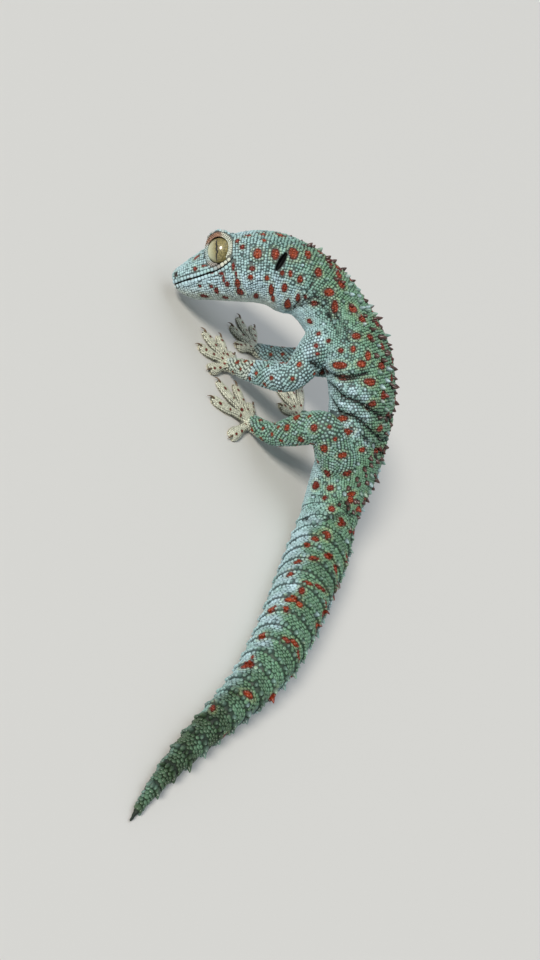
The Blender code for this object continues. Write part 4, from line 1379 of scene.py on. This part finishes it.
@dataclass
class Coat:
    """One piece of scales: their build and size, and how they vary."""

    name: str
    build: Scale
    half_long: float
    half_wide: float
    height: float
    sides: int = 6
    square: float = 2.0  # the power of the outline: 2 is round, more is squarer
    tilt: float = 0.0  # share of the height by which the rear edge stands up
    vary: float = 0.1
    lean: float = 0.0  # how far the top leans back, in heights

    def shape(self, roots: Roots, draw: np.random.Generator) -> tuple[Shape, Array, Array, Array]:
        """Builds every scale.

        Args:
            roots: where they stand.
            draw: the source of their differences.

        Returns:
            The scales' shape, then for each point its root's number, its place on the unwrap and how
            high it is on its scale.
        """
        count = len(roots.places)
        across = unit(np.cross(roots.out, roots.back))
        back = np.cross(across, roots.out)
        size = draw.normal(1, self.vary, (count, 1, 1)).clip(0.6, 1.4)
        tall = self.height * draw.normal(1, 1.5 * self.vary, (count, 1, 1)).clip(0.5, 1.5)
        first = math.pi / self.sides if self.square > 2 else 0
        turn = np.arange(self.sides) * TURN / self.sides + first
        power = self.square
        bulge = (np.abs(np.cos(turn)) ** power + np.abs(np.sin(turn)) ** power) ** (-1 / power)
        rings, flat, crown = [], [], []
        for share, rise in self.build.value:
            long = share * bulge * np.cos(turn)
            wide = share * bulge * np.sin(turn)
            lift = rise + self.tilt * np.maximum(rise, 0) * long
            rings.append(
                roots.places[:, None]
                + size * (self.half_long * long[None, :, None] * back[:, None]
                          + self.half_wide * wide[None, :, None] * across[:, None])
                + tall * (lift[None, :, None] * roots.out[:, None]
                          + self.lean * max(rise, 0) * back[:, None]))
            flat.append(np.column_stack((long, wide)))
            crown.append(np.full(self.sides, max(rise, 0.0)))
        top = roots.places[:, None] + tall * (roots.out[:, None] + self.lean * back[:, None])
        points = np.concatenate(rings + [top], axis=1)
        points[..., 2] = np.maximum(points[..., 2], FLOOR_CLEAR)
        each = points.shape[1]
        side = np.arange(self.sides)
        after = (side + 1) % self.sides
        quads = np.vstack([
            np.stack((ring * self.sides + side, ring * self.sides + after,
                      (ring + 1) * self.sides + after, (ring + 1) * self.sides + side), axis=1)
            for ring in range(len(rings) - 1)])
        last = (len(rings) - 1) * self.sides
        tips = np.stack((last + side, last + after, np.full(self.sides, each - 1)), axis=1)
        base = side[::-1][None]
        start = (np.arange(count) * each)[:, None, None]
        faces = [(group[None] + start).reshape(-1, group.shape[1]) for group in (quads, tips, base)]
        local = np.vstack(flat + [np.zeros((1, 2))])
        unwrap = (roots.unwrap[:, None] + UNWRAP_PATCH / 2 * local[None]).reshape(-1, 2)
        high = np.tile(np.append(np.concatenate(crown), 1.0), count)
        return Shape(points.reshape(-1, 3), faces), np.repeat(np.arange(count), each), unwrap, high


def unwrapped(piece: bpy.types.Object, places: Array) -> None:
    """Gives a piece of scales its bake map, with each scale a small patch at its root."""
    layer = piece.data.uv_layers.new(name="OFBake")
    loops = np.empty(len(piece.data.loops), np.int32)
    piece.data.loops.foreach_get("vertex_index", loops)
    layer.data.foreach_set("uv", np.clip(places, 0.001, 0.999)[loops].astype(np.float32).ravel())


@dataclass
class Lattice:
    """Finds the roots of the scales on the skin, region by region."""

    skin: Skin
    creases: Creases
    tubercles: KDTree | None = None
    clear_eye: float = 6.4
    clear_mouth: float = 1.6
    clear_floor: float = 0.45
    clear_ear: float = 0.4
    clear_nostril: float = 0.35
    clear_tubercle: float = 0.95
    row_share: float = 0.87  # rows of round scales nest at this share of their pitch
    dense_rows: float = 0.4  # rows tried on a limb, in pitches, of which those far enough apart stay
    least: float = 0.86
    toe_pitch: float = 0.64
    stray: float = 0.08  # how far a scale strays from its even place, in pitches

    def trunk(self, start: float, end: float, pitch: float, rows: Array | None = None) -> Roots:
        """Staggered rows round the body between two distances from the snout.

        Args:
            start: where they start.
            end: where they end.
            pitch: how far apart the scales of a row stand.
            rows: where the rows lie, or nothing for even ones.

        Returns:
            The roots.
        """
        dense = np.linspace(0, TURN, 181)
        draw = np.random.default_rng(SEED)
        distances, angles = [], []
        if rows is None:
            rows = np.arange(start, end, pitch * self.row_share)
        for number, place in enumerate(rows):
            ring = TRUNK.surface(np.full(len(dense), place), dense)
            arc = np.concatenate(((0,), np.cumsum(np.linalg.norm(np.diff(ring, axis=0), axis=1))))
            count = max(round(arc[-1] / pitch), 5)
            stray = draw.normal(0, self.stray, (2, count))
            spots = (np.arange(count) + 0.5 * (number % 2) + stray[0]) / count * arc[-1]
            angles.append(np.interp(np.mod(spots, arc[-1]), arc, dense))
            distances.append(np.clip(place + stray[1] * pitch, start, end))
        distance, angle = np.concatenate(distances), np.concatenate(angles)
        return self.on_trunk(distance, angle, (start, end))

    def on_trunk(self, distance: Array, angle: Array, span: tuple[float, float]) -> Roots:
        """Drops places and angles of the body on to the skin."""
        middle, forward, left, up = TRUNK.frame(distance)
        out = np.sin(angle)[:, None] * left + np.cos(angle)[:, None] * up
        origins = middle + out * (TRUNK.reach(distance, angle) + 7.0)[:, None]
        origins[:, 2] = np.maximum(origins[:, 2], 0.0)
        met, places, normals = self.skin.cast(origins, -out, 13.0)
        along = (distance - span[0]) / (span[1] - span[0])
        unwrap = np.column_stack((along, np.mod(angle, TURN) / TURN))
        roots = Roots(places, normals, -forward, 0.01 + 0.98 * unwrap)
        keep = met.copy()
        keep[met] &= self.off_limbs(places[met])
        return self.cleared(roots.kept(keep))

    def off_limbs(self, places: Array) -> Array:
        """Whether places are on the trunk and not on a limb."""
        _, _, gap = TRUNK.locate(places)
        fine = np.ones(len(places), bool)
        for limb in LIMBS:
            _, apart = limb.locate(places)
            fine &= ~((apart < gap) & (gap > 0.6))
        return fine

    def limb(self, limb: Limb, pitch: float) -> Roots:
        """Staggered rows round a limb, outside the trunk.

        Args:
            limb: the limb.
            pitch: how far apart the scales stand.

        Returns:
            The roots.
        """
        distances, angles = [], []
        for number, place in enumerate(np.arange(2.0, limb.line.length, pitch * self.dense_rows)):
            count = max(round(TURN * float(limb.radius(np.array(place))) / (0.8 * pitch)), 5)
            angles.append((np.arange(count) + 0.5 * (number % 2)) / count * TURN)
            distances.append(np.full(count, place))
        distance, angle = np.concatenate(distances), np.concatenate(angles)
        way, across, over = limb.ways(distance)
        out = np.cos(angle)[:, None] * across + np.sin(angle)[:, None] * over
        origins = limb.line.at(distance) + out * (limb.radius(distance) + 2.2)[:, None]
        met, places, normals = self.skin.cast(origins, -out, 4.4)
        _, _, body_gap = TRUNK.locate(places)
        _, limb_gap = limb.locate(places)
        met &= (body_gap > 0.6) & (limb_gap <= body_gap) & (places[:, 2] > 1.2)
        unwrap = np.column_stack((0.7 * distance / limb.line.length, angle / TURN))
        roots = Roots(places, normals, way, 0.01 + 0.98 * unwrap).kept(met)
        return self.cleared(roots.kept(spaced(roots.places, self.least * pitch)))

    def toes(self, limb: Limb) -> Roots:
        """Short rows over the tops of a limb's toes."""
        parts = []
        for number, digit in enumerate(limb.digits()):
            way, across = digit.ways()
            step = self.row_share * self.toe_pitch / digit.length
            for row, share in enumerate(np.arange(0.04, 0.98, step)):
                half, _ = smooth_table(DIGIT, np.array(share))
                count = max(int(round(2 * half / self.toe_pitch)), 2)
                out = (np.arange(count) + 0.5 - count / 2 + 0.25 * (row % 2)) * 2 * half / count * 0.94
                start = np.array((digit.root[0], digit.root[1], 7.0)) + way * digit.length * share
                origins = start + out[:, None] * across
                met, places, normals = self.skin.cast(origins, np.tile((0.0, 0.0, -1.0), (count, 1)), 7.0)
                met &= places[:, 2] < 4.2
                unwrap = np.column_stack((
                    np.full(count, 0.72 + 0.27 * share), (number + 0.5 + 0.4 * out / 2.5) / 5))
                parts.append(Roots(places, normals, np.tile(way, (count, 1)), unwrap).kept(met))
        return Roots.joined(parts)

    def cleared(self, roots: Roots) -> Roots:
        """The roots away from the eyes, mouth, ears, nostrils, floor, folds and raised scales.

        Args:
            roots: the roots.

        Returns:
            The roots that stay.
        """
        keep = roots.places[:, 2] > self.clear_floor
        for side in Side:
            apart = roots.places - HEAD.eye_middle(side)
            look = HEAD.eye_axes(side)[2]
            ahead = apart @ look
            around = np.sqrt(np.maximum((apart ** 2).sum(axis=1) - ahead ** 2, 0))
            keep &= ~((around < self.clear_eye) & (ahead > 0.3))
            at, ways = HEAD.ear_middle(side)
            local = (roots.places - at) @ ways.T / (np.array(HEAD.ear_half) + self.clear_ear)
            keep &= (local ** 2).sum(axis=1) > 1
            apart = np.linalg.norm(roots.places - HEAD.nostril_middle(side), axis=1)
            keep &= apart > HEAD.nostril_radius + self.clear_nostril
        keep &= mouth_distance(roots.places) > self.clear_mouth
        keep &= self.creases.line(roots.places) < 0.7
        if self.tubercles is not None:
            near = np.array([self.tubercles.find(place)[2] for place in roots.places])
            keep &= near > self.clear_tubercle
        return roots.kept(keep)


def spaced(places: Array, least: float) -> Array:
    """Keeps places, in their order, that lie no nearer than some distance to one kept before."""
    cells: dict[tuple[int, int, int], list[Array]] = {}
    keep = np.zeros(len(places), bool)
    index = np.floor(places / least).astype(int)
    for number, (place, cell) in enumerate(zip(places, map(tuple, index))):
        around = ((cell[0] + i, cell[1] + j, cell[2] + k)
                  for i in (-1, 0, 1) for j in (-1, 0, 1) for k in (-1, 0, 1))
        if any(((place - other) ** 2).sum() < least ** 2 for key in around for other in cells.get(key, ())):
            continue
        cells.setdefault(cell, []).append(place)
        keep[number] = True
    return keep


def mouth_distance(places: Array) -> Array:
    """How far places are from the line of the mouth."""
    run = np.linspace(0.0, HEAD.mouth[-1][0] - 1.0, 60)
    height = HEAD.mouth_height(run)
    out = HEAD.body.half_width_at(run, height)
    line = np.vstack((HEAD.body.head_point(run, out, height), HEAD.body.head_point(run, -out, height)))
    best = np.full(len(places), np.inf)
    near = np.nonzero(np.linalg.norm(places - line.mean(axis=0), axis=1) < 40)[0]
    for point in line:
        best[near] = np.minimum(best[near], ((places[near] - point) ** 2).sum(axis=1))
    return np.sqrt(best)


@dataclass
class Scales:
    """All the scales of the animal, piece by piece."""

    skin: Skin
    markings: Markings
    finish: bpy.types.Material
    draw: np.random.Generator = field(default_factory=lambda: np.random.default_rng(SEED))
    tubercle_rows: tuple[float, ...] = (7.0, 21.0, 35.0, 49.0, 63.0, 77.0, 92.0)
    tubercle_step: float = 4.9
    tail_rows: tuple[float, ...] = (13.0, 40.0, 66.0)
    whorl_rows: tuple[float, ...] = (0.08, 0.245, 0.41, 0.575, 0.73)  # shares of a whorl's length
    rear_row: tuple[float, ...] = (0.88,)

    def make(self, coat: Coat, roots: Roots, extra: dict[str, Array] | None = None) -> bpy.types.Object:
        """Builds one piece of scales and dresses it, with any masks of its own for each root."""
        shape, groups, unwrap, high = coat.shape(roots, self.draw)
        masks = self.markings.masks(roots.places, self.draw, groups, shape.points)
        # Each point's height on its scale sets the painted shade at the scale's foot and the painted
        # highlight on its top.
        masks |= {name: values[groups] for name, values in (extra or {}).items()} | {"crown": high}
        piece = make_object(coat.name, shape, masks)
        unwrapped(piece, unwrap)
        piece.data.materials.append(self.finish)
        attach(piece, BODY)
        LOG.info("%s: %d scales", coat.name, len(roots.places))
        return piece

    def tubercles(self, lattice: Lattice) -> Roots:
        """Staggered rows of raised scales over the back, and one row at each whorl's rear edge."""
        distance, angle = [], []
        for number, turn in enumerate(self.tubercle_rows):
            for side in Side:
                run = np.arange(27.0 + (number % 2) * self.tubercle_step / 2, TAIL_START, self.tubercle_step)
                distance.append(run + self.draw.uniform(-0.8, 0.8, len(run)))
                angle.append(np.radians(side.value * (turn + self.draw.uniform(-2.5, 2.5, len(run)))))
        for turn in self.tail_rows:
            for side in Side:
                run = np.arange(TAIL_START + WHORL, TAIL_TIP - 9, WHORL) - 1.0
                distance.append(run)
                angle.append(np.full(len(run), math.radians(side.value * turn)))
        return lattice.on_trunk(np.concatenate(distance), np.concatenate(angle), (0.0, TAIL_TIP))

    def tubercle_tones(self, roots: Roots) -> dict[str, Array]:
        """Dark red raised scales along the back, and pale ones among the rest."""
        distance, angle, _ = TRUNK.locate(roots.places)
        middle_rows = (np.abs(np.degrees(angle)) < 40) & (distance < TAIL_START + 4)
        share = self.draw.uniform(0, 1, len(roots.places))
        return {"ember": np.where(middle_rows & (share < 0.6), 0.9, 0.0),
                "pale": np.where(share > 0.8, 0.75, 0.3)}

    def build(self) -> None:
        """Makes every piece, the largest scales first so that the small ones keep clear."""
        lattice = Lattice(self.skin, self.markings.creases)
        raised = self.tubercles(lattice)
        distance, angle, _ = TRUNK.locate(raised.places)
        high = np.abs(np.degrees(angle)) < 42
        rear = distance > TAIL_START
        on_head = distance < HEAD_END + 3
        for coat, here in (
            (Coat("head_tubercles", Scale.CONE, 0.72, 0.72, 0.62, 7, vary=0.12, lean=0.2), on_head),
            (Coat("back_tubercles", Scale.CONE, 1.2, 1.05, 1.7, 9, vary=0.14, lean=0.4),
             ~on_head & ~rear & high),
            (Coat("flank_tubercles", Scale.CONE, 0.85, 0.8, 0.95, 9, vary=0.16, lean=0.3),
             ~on_head & ~rear & ~high),
            (Coat("tail_tubercles", Scale.CONE, 1.3, 0.85, 1.3, 9, vary=0.12, lean=1.1), rear),
        ):
            roots = raised.kept(here)
            self.make(coat, roots, self.tubercle_tones(roots))
        lattice.tubercles = tree_of(raised.places)
        for name, half, vary, span, pitch in (
            ("head_scales", 0.56, 0.13, (0.4, HEAD_END), 1.0),
            ("neck_chest_scales", 0.57, 0.12, (HEAD_END, CHEST_END), 1.02),
            ("belly_hip_scales", 0.6, 0.12, (CHEST_END, TAIL_START), 1.08),
        ):
            coat = Coat(name, Scale.BEAD, half, half, 0.38, 7, vary=vary)
            self.make(coat, lattice.trunk(*span, pitch))
        whorls = np.arange(TAIL_START, TAIL_TIP - WHORL, WHORL)[:, None]
        for coat, shares in (
            (Coat("tail_scales", Scale.PLATE, 0.6, 0.68, 0.34, 8, 3.0, 0.4, 0.07), self.whorl_rows),
            (Coat("whorl_edge_scales", Scale.PLATE, 0.82, 0.69, 0.44, 8, 2.6, 0.8, 0.08), self.rear_row),
        ):
            rows = (whorls + WHORL * np.array(shares)).ravel()
            self.make(coat, lattice.trunk(TAIL_START, TAIL_TIP - 0.5, 1.36, rows))
        for limb in LIMBS:
            coat = Coat(f"{limb.name}_scales", Scale.BEAD, 0.61, 0.58, 0.4, 7)
            self.make(coat, lattice.limb(limb, 1.02))
            coat = Coat(f"{limb.name}_toe_scales", Scale.BEAD, 0.4, 0.4, 0.17)
            self.make(coat, lattice.toes(limb))
        self.labials()
        self.eye_rims()

    def labials(self) -> None:
        """The square plates along both lips."""
        parts = []
        run = np.arange(0.9, HEAD.mouth[-1][0] - 0.4, 1.4)
        for side in Side:
            for rise in (0.86, -0.86):
                height = HEAD.mouth_height(run) + rise
                _, left, _ = HEAD.axes()
                origins = HEAD.body.head_point(run, np.full(len(run), side.value * 26.0), height)
                ways = np.tile(-side.value * left, (len(run), 1))
                met, places, normals = self.skin.cast(origins, ways, 40.0)
                back = unit(np.gradient(places, axis=0))
                share = run / HEAD.mouth[-1][0]
                row = (0.2 + 0.4 * (side is Side.LEFT)) + 0.1 * (rise > 0)
                unwrap = np.column_stack((0.05 + 0.9 * share, np.full(len(run), row)))
                parts.append(Roots(places, normals, back, unwrap).kept(met))
        coat = Coat("lip_plates", Scale.PLATE, 0.72, 0.64, 0.26, 12, square=4.0, vary=0.05)
        self.make(coat, Roots.joined(parts))

    def eye_rims(self) -> None:
        """Three rings of small scales round each eye."""
        parts = []
        for side in Side:
            axes, middle = HEAD.eye_axes(side), HEAD.eye_middle(side)
            for row, (widths, count) in enumerate(((0.45, 46), (1.45, 46), (2.5, 50))):
                turn = (np.arange(count) + 0.5 * (row % 2)) * TURN / count
                way = np.cos(turn)[:, None] * axes[0] + np.sin(turn)[:, None] * axes[1]
                origins = middle + HEAD.rim_place(turn, axes, widths) + 9.0 * axes[2]
                met, places, normals = self.skin.cast(origins, np.tile(-axes[2], (count, 1)), 12.0)
                met &= mouth_distance(places) > 2.0
                flat = 0.25 + 0.5 * (side is Side.RIGHT)
                reach = 0.12 + 0.03 * widths
                unwrap = np.column_stack((flat + reach * np.cos(turn), 0.5 + reach * np.sin(turn)))
                parts.append(Roots(places, normals, way, unwrap).kept(met))
        coat = Coat("eye_rim_scales", Scale.BEAD, 0.36, 0.38, 0.3, 6, vary=0.08)
        self.make(coat, Roots.joined(parts))


def linear(colour: str) -> tuple[float, float, float, float]:
    """Turns an sRGB hex colour into the linear one that a shader takes."""
    parts = [int(colour[k:k + 2], 16) / 255 for k in (1, 3, 5)]
    red, green, blue = (
        part / 12.92 if part <= 0.04045 else ((part + 0.055) / 1.055) ** 2.4 for part in parts)
    return red, green, blue, 1.0


def add_node(tree: bpy.types.NodeTree, kind: str, settings: dict | None = None,
             links: dict | None = None) -> bpy.types.Node:
    """Adds a node.

    Args:
        tree: the material's tree.
        kind: the node's type.
        settings: its own properties by name.
        links: its inputs by name or number, each a value or another node's output.

    Returns:
        The node.
    """
    made = tree.nodes.new(kind)
    for name, value in (settings or {}).items():
        setattr(made, name, value)
    for name, value in (links or {}).items():
        if isinstance(value, bpy.types.NodeSocket):
            tree.links.new(value, made.inputs[name])
        else:
            made.inputs[name].default_value = value
    return made


def painted(tree: bpy.types.NodeTree, colour: object, coats: Sequence[tuple]) -> object:
    """Paints a colour over with others.

    Args:
        tree: the material's tree.
        colour: what lies lowest.
        coats: from the lowest up, how much each covers and its colour.

    Returns:
        The output with the last colour on it.
    """
    for share, above in coats:
        made = add_node(tree, "ShaderNodeMix", {"data_type": "RGBA"}, {0: share, 6: colour, 7: above})
        colour = made.outputs[2]
    return colour


def new_material(name: str) -> tuple[bpy.types.Material, bpy.types.NodeTree, bpy.types.Node]:
    """Starts a material.

    Args:
        name: its name.

    Returns:
        The material, its tree and its shader.
    """
    made = bpy.data.materials.new(name)
    made.use_nodes = True
    return made, made.node_tree, made.node_tree.nodes["Principled BSDF"]


@dataclass(frozen=True)
class LivingSkin:
    """Keratin over living skin: waxy beads, each with one soft highlight, over matt furrows in painted
    shade.
    """

    name: str
    depth: float  # how much painted shade darkens the furrows
    roughness: float
    top: float = 1.2  # how much a painted highlight brightens the top of a scale
    even: float = 0.6  # how far the colour of a spot fills its furrows, lifting their painted shade
    ring: float = 0.32  # how strong the pale ring round a spot is
    tints: tuple[float, float] = (0.78, 1.18)  # how dark and how light one scale may be
    grain: float = 0.22  # millimetres: the fine wrinkles of one scale, drawn as coarse as they show
    base: str = "#79A097"
    green: str = "#628A6C"
    pale: str = "#ACC8D2"
    cream: str = "#C6C8B6"
    rust: str = "#8A5533"
    halo: str = "#A3AC78"
    maroon: str = "#4A120C"
    red: str = "#6F1D0F"
    orange: str = "#A5491C"
    night: str = "#3C523A"
    # Painted shade at the bottom of a fold.
    fold: str = "#141C16"
    # Painted shade inside the ears, nostrils and mouth.
    hollow: str = "#0A0908"

    def make(self) -> bpy.types.Material:
        """Builds the material.

        Returns:
            The material.
        """
        made, tree, shader = new_material(self.name)
        masks = {
            name: add_node(tree, "ShaderNodeAttribute", {"attribute_name": name}).outputs["Fac"]
            for name in ("green", "pale", "dark", "cream", "rust", "halo", "warm", "core", "spot",
                         "ember", "shade", "hole_shade", "tint", "crown")}
        times, most = {"operation": "MULTIPLY"}, {"operation": "MAXIMUM"}
        halo = add_node(tree, "ShaderNodeMath", times, {0: masks["halo"], 1: self.ring})
        warm = painted(tree, linear(self.red), [(masks["warm"], linear(self.orange))])
        heart = painted(tree, linear(self.maroon), [(masks["core"], warm)])
        # The last two coats are painted shade: along the folds, and inside the ears, nostrils and mouth.
        colour = painted(tree, linear(self.base), [
            (masks["green"], linear(self.green)), (masks["pale"], linear(self.pale)),
            (masks["dark"], linear(self.night)), (masks["cream"], linear(self.cream)),
            (masks["rust"], linear(self.rust)), (halo.outputs[0], linear(self.halo)),
            (masks["spot"], heart), (masks["ember"], linear(self.maroon)),
            (masks["shade"], linear(self.fold)), (masks["hole_shade"], linear(self.hollow))])
        low, high = self.tints
        tint = add_node(tree, "ShaderNodeMapRange", links={0: masks["tint"], 3: low, 4: high})
        # Painted shade in the furrows and a painted highlight on each scale's top, set by the height on the
        # scale; a spot lifts the shade.
        level = add_node(tree, "ShaderNodeMath", times, {0: masks["spot"], 1: self.even})
        level = add_node(tree, "ShaderNodeMath", most, {0: masks["crown"], 1: level.outputs[0]})
        crown = add_node(tree, "ShaderNodeMapRange", links={
            0: level.outputs[0], 3: 1 - self.depth, 4: self.top})
        tint_and_painted_light = add_node(tree, "ShaderNodeMath", times, {0: tint.outputs[0], 1: crown.outputs[0]})
        shaded = add_node(tree, "ShaderNodeHueSaturation", links={
            "Color": colour, "Value": tint_and_painted_light.outputs[0]})
        tree.links.new(shaded.outputs[0], shader.inputs["Base Color"])
        place = add_node(tree, "ShaderNodeTexCoord")
        noise = add_node(tree, "ShaderNodeTexNoise", links={
            "Vector": place.outputs["Object"], "Scale": 1 / (self.grain * MM), "Detail": 3.0})
        bump = add_node(tree, "ShaderNodeBump", links={
            "Height": noise.outputs[0], "Strength": 0.35, "Distance": 0.05 * MM})
        tree.links.new(bump.outputs[0], shader.inputs["Normal"])
        shader.inputs["Roughness"].default_value = self.roughness
        shader.inputs["IOR"].default_value = 1.5
        return made


@dataclass(frozen=True)
class Eyeball:
    """A wet brille over a marbled iris: one sharp highlight and a painted highlight on one side, over olive
    gold, with a notched slit.
    """

    name: str = "wet_eye"
    gold: str = "#A09461"
    olive: str = "#4F4C2B"
    # Painted highlight: the pale side of the ball.
    pale: str = "#C3C7A6"
    rim: str = "#15130C"
    pupil: str = "#050505"
    notches: Table = (
        (-4.2, -0.9), (-3.0, -0.6), (-1.8, -0.2), (-1.0, 0.3), (0.0, 0.1), (1.0, 0.3), (2.0, 0.0),
        (3.6, 0.1),
    )
    slit: float = 0.3
    slit_half: float = 3.9
    iris: float = 4.45
    vein: float = 0.6

    def make(self) -> bpy.types.Material:
        """Builds the material from the eye's own look attribute, in millimetres across and up."""
        made, tree, shader = new_material(self.name)
        look, slit = (add_node(tree, "ShaderNodeAttribute", {"attribute_name": name})
                      for name in ("look", "slit"))
        apart = add_node(tree, "ShaderNodeSeparateXYZ", links={0: look.outputs["Vector"]})
        noise = add_node(tree, "ShaderNodeTexNoise", links={
            "Vector": look.outputs["Vector"], "Scale": 1 / self.vein, "Detail": 6.0, "Roughness": 0.65})
        # The pale side of the ball is a painted highlight.
        marble, painted_highlight, round_out, open_in = (
            add_node(tree, "ShaderNodeMapRange", links={0: value, 1: low, 2: high}).outputs[0]
            for value, low, high in (
                (noise.outputs[0], 0.35, 0.68), (apart.outputs[0], -0.2, -3.6),
                (apart.outputs[2], self.iris - 0.35, self.iris), (slit.outputs["Fac"], 0.06, -0.02)))
        colour = painted(tree, linear(self.olive), [
            (marble, linear(self.gold)), (painted_highlight, linear(self.pale)), (round_out, linear(self.rim)),
            (open_in, linear(self.pupil))])
        tree.links.new(colour, shader.inputs["Base Color"])
        shader.inputs["Roughness"].default_value = 0.35
        shader.inputs["Coat Weight"].default_value = 1.0
        shader.inputs["Coat Roughness"].default_value = 0.03
        shader.inputs["Coat IOR"].default_value = 1.38
        return made


@dataclass
class Eyes:
    """The two eyeballs."""

    finish: Eyeball = field(default_factory=Eyeball)

    def build(self) -> None:
        """Makes each ball, keeps where it looks and dresses it."""
        material = self.finish.make()
        for side, node in ((Side.LEFT, "eye_left"), (Side.RIGHT, "eye_right")):
            axes, middle = HEAD.eye_axes(side), HEAD.eye_middle(side)
            ball = Shape.ball(middle, axes, (HEAD.eye_radius,) * 3, 96, 160).outward()
            local = (ball.points - middle) @ axes.T
            across, over, ahead = local.T
            if float(axes[0] @ HEAD.axes()[0]) > 0:
                across = -across
            around = np.where(ahead > 0, np.hypot(across, over), HEAD.eye_radius)
            bend = smooth_table(self.finish.notches, over)[:, 0]
            long = self.finish.slit_half
            half = self.finish.slit * np.sqrt(np.clip(1 - (over / long) ** 2, 0, 1))
            slit = np.where(ahead > 0, np.abs(across - bend) - half, 1.0)
            slit = np.where(np.abs(over) > long, 1.0, slit)
            look = np.column_stack((across, over, around))
            piece = make_object(f"{node}_ball", ball, {"look": look, "slit": slit})
            piece.data.materials.append(material)
            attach(piece, BODY)
            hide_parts(node)
            LOG.info("%s: eyeball", node)


@dataclass(frozen=True)
class Mottled:
    """A growth of the skin in two tones that drift into each other."""

    name: str
    colour: str
    drift: str
    patch: float  # millimetres
    roughness: float

    def make(self) -> bpy.types.Material:
        """Builds the material."""
        made, tree, shader = new_material(self.name)
        place = add_node(tree, "ShaderNodeTexCoord")
        noise = add_node(tree, "ShaderNodeTexNoise", links={
            "Vector": place.outputs["Object"], "Scale": 1 / (self.patch * MM), "Detail": 4.0})
        colour = painted(tree, linear(self.colour), [(noise.outputs[0], linear(self.drift))])
        tree.links.new(colour, shader.inputs["Base Color"])
        shader.inputs["Roughness"].default_value = self.roughness
        return made


# Claw horn, worn smooth as it grows: dark and clear brown by turns, with a soft polish.
CLAW_HORN = Mottled("claw_horn", "#3A2C20", "#7A6248", 0.8, 0.38)
# Pad skin, a pile of hairs too fine to draw: matt cream bands, with no shine at all.
PAD_SKIN = Mottled("toe_pad_skin", "#CFC8AE", "#9C9A82", 0.6, 0.85)


@dataclass
class Toes:
    """The claws and the plates under the toes."""

    def build(self) -> None:
        """Makes one piece of claws and one of plates."""
        digits = [digit for limb in LIMBS for digit in limb.digits()]
        claws = Shape.joined([digit.claw() for digit in digits])
        pads = Shape.joined([plate for digit in digits for plate in digit.pads()])
        for name, shape, finish in (("claws", claws, CLAW_HORN), ("toe_pads", pads, PAD_SKIN)):
            piece = make_object(name, shape)
            piece.data.materials.append(finish.make())
            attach(piece, BODY)
            LOG.info("%s: %d toes", name, len(digits))


@dataclass
class Studio:
    """A plain pale floor under plain soft light."""

    floor_half: float = 3.0
    floor_colour: str = "#D9D8D4"
    sky_colour: str = "#DCE3E8"
    sky: float = 0.42
    key: tuple[float, float, str] = (2.9, 14.0, "#FFF9F0")  # power, spread in degrees, colour
    top: tuple[float, float, str] = (0.7, 60.0, "#EEF4FF")

    def build(self) -> None:
        """Makes the floor, the lights and the sky."""
        mesh = bpy.data.meshes.new("floor")
        half = self.floor_half
        corners = [(-half, -half, 0), (half, -half, 0), (half, half, 0), (-half, half, 0)]
        mesh.from_pydata(corners, [], [(0, 1, 2, 3)])
        floor = bpy.data.objects.new("floor", mesh)
        bpy.context.scene.collection.objects.link(floor)
        # Uncoated paper, which has no highlight, so that only the animal's shadow shows on it.
        matt, _, shader = new_material("matt_paper")
        shader.inputs["Base Color"].default_value = linear(self.floor_colour)
        shader.inputs["Roughness"].default_value = 0.9
        mesh.materials.append(matt)
        world = bpy.data.worlds.new("studio")
        world.use_nodes = True
        background = world.node_tree.nodes["Background"]
        background.inputs[0].default_value = linear(self.sky_colour)
        background.inputs[1].default_value = self.sky
        bpy.context.scene.world = world
        bpy.context.scene.view_settings.view_transform = "Standard"
        right, up, back = (np.array(way) for way in (VIEW.right, VIEW.up, VIEW.back))
        self.light("key", unit(back + 0.35 * up - 0.1 * right), *self.key)
        self.light("top", unit(np.array((-0.2, 0.2, 1.0))), *self.top)

    @staticmethod
    def light(name: str, way: Array, power: float, spread: float, colour: str) -> None:
        """Adds a soft light from a way, whose apparent size is a spread in degrees."""
        data = bpy.data.lights.new(name, "SUN")
        data.energy, data.angle = power, math.radians(spread)
        data.color = linear(colour)[:3]
        lamp = bpy.data.objects.new(name, data)
        lamp.rotation_euler = Vector(-way).to_track_quat("-Z", "Y").to_euler()
        bpy.context.scene.collection.objects.link(lamp)


def dress_skin(skin: Skin, markings: Markings) -> None:
    """Carves the openings, paints the skin and puts it in place of all the flesh."""
    carved(skin.piece, HEAD.openings())
    points = mesh_points(skin.piece)
    for name, values in markings.masks(points, np.random.default_rng(SEED)).items():
        if name == "tint":
            values = 0.5 + 0.3 * ripple(points, 0.8, SEED + 5)
        kept = skin.piece.data.attributes.new(name, "FLOAT", "POINT")
        kept.data.foreach_set("value", values.astype(np.float32))
    skin.piece.data.materials.clear()
    # The skin shows only between the scales, and outside the spots it is darkened with painted shade.
    skin.piece.data.materials.append(LivingSkin("shaded_furrow_skin", 0.78, 0.6).make())
    skin.piece.data.shade_smooth()
    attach(skin.piece, BODY)
    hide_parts(*[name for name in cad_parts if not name.startswith("eye")])
    LOG.info("skin: %d points", len(points))


def main() -> None:
    """Builds the animal and its studio in order."""
    VIEW.make()
    Studio().build()
    creases = Creases()
    skin = Skin()
    skin.build(creases)
    markings = Markings(skin, creases)
    # The scales' finish paints shade at their feet and a highlight on their tops.
    Scales(skin, markings, LivingSkin("scale_keratin", 0.7, 0.33).make()).build()
    dress_skin(skin, markings)
    Eyes().build()
    Toes().build()


if __name__ == "__main__":
    logging.basicConfig(level=logging.INFO, format="%(message)s")
    main()
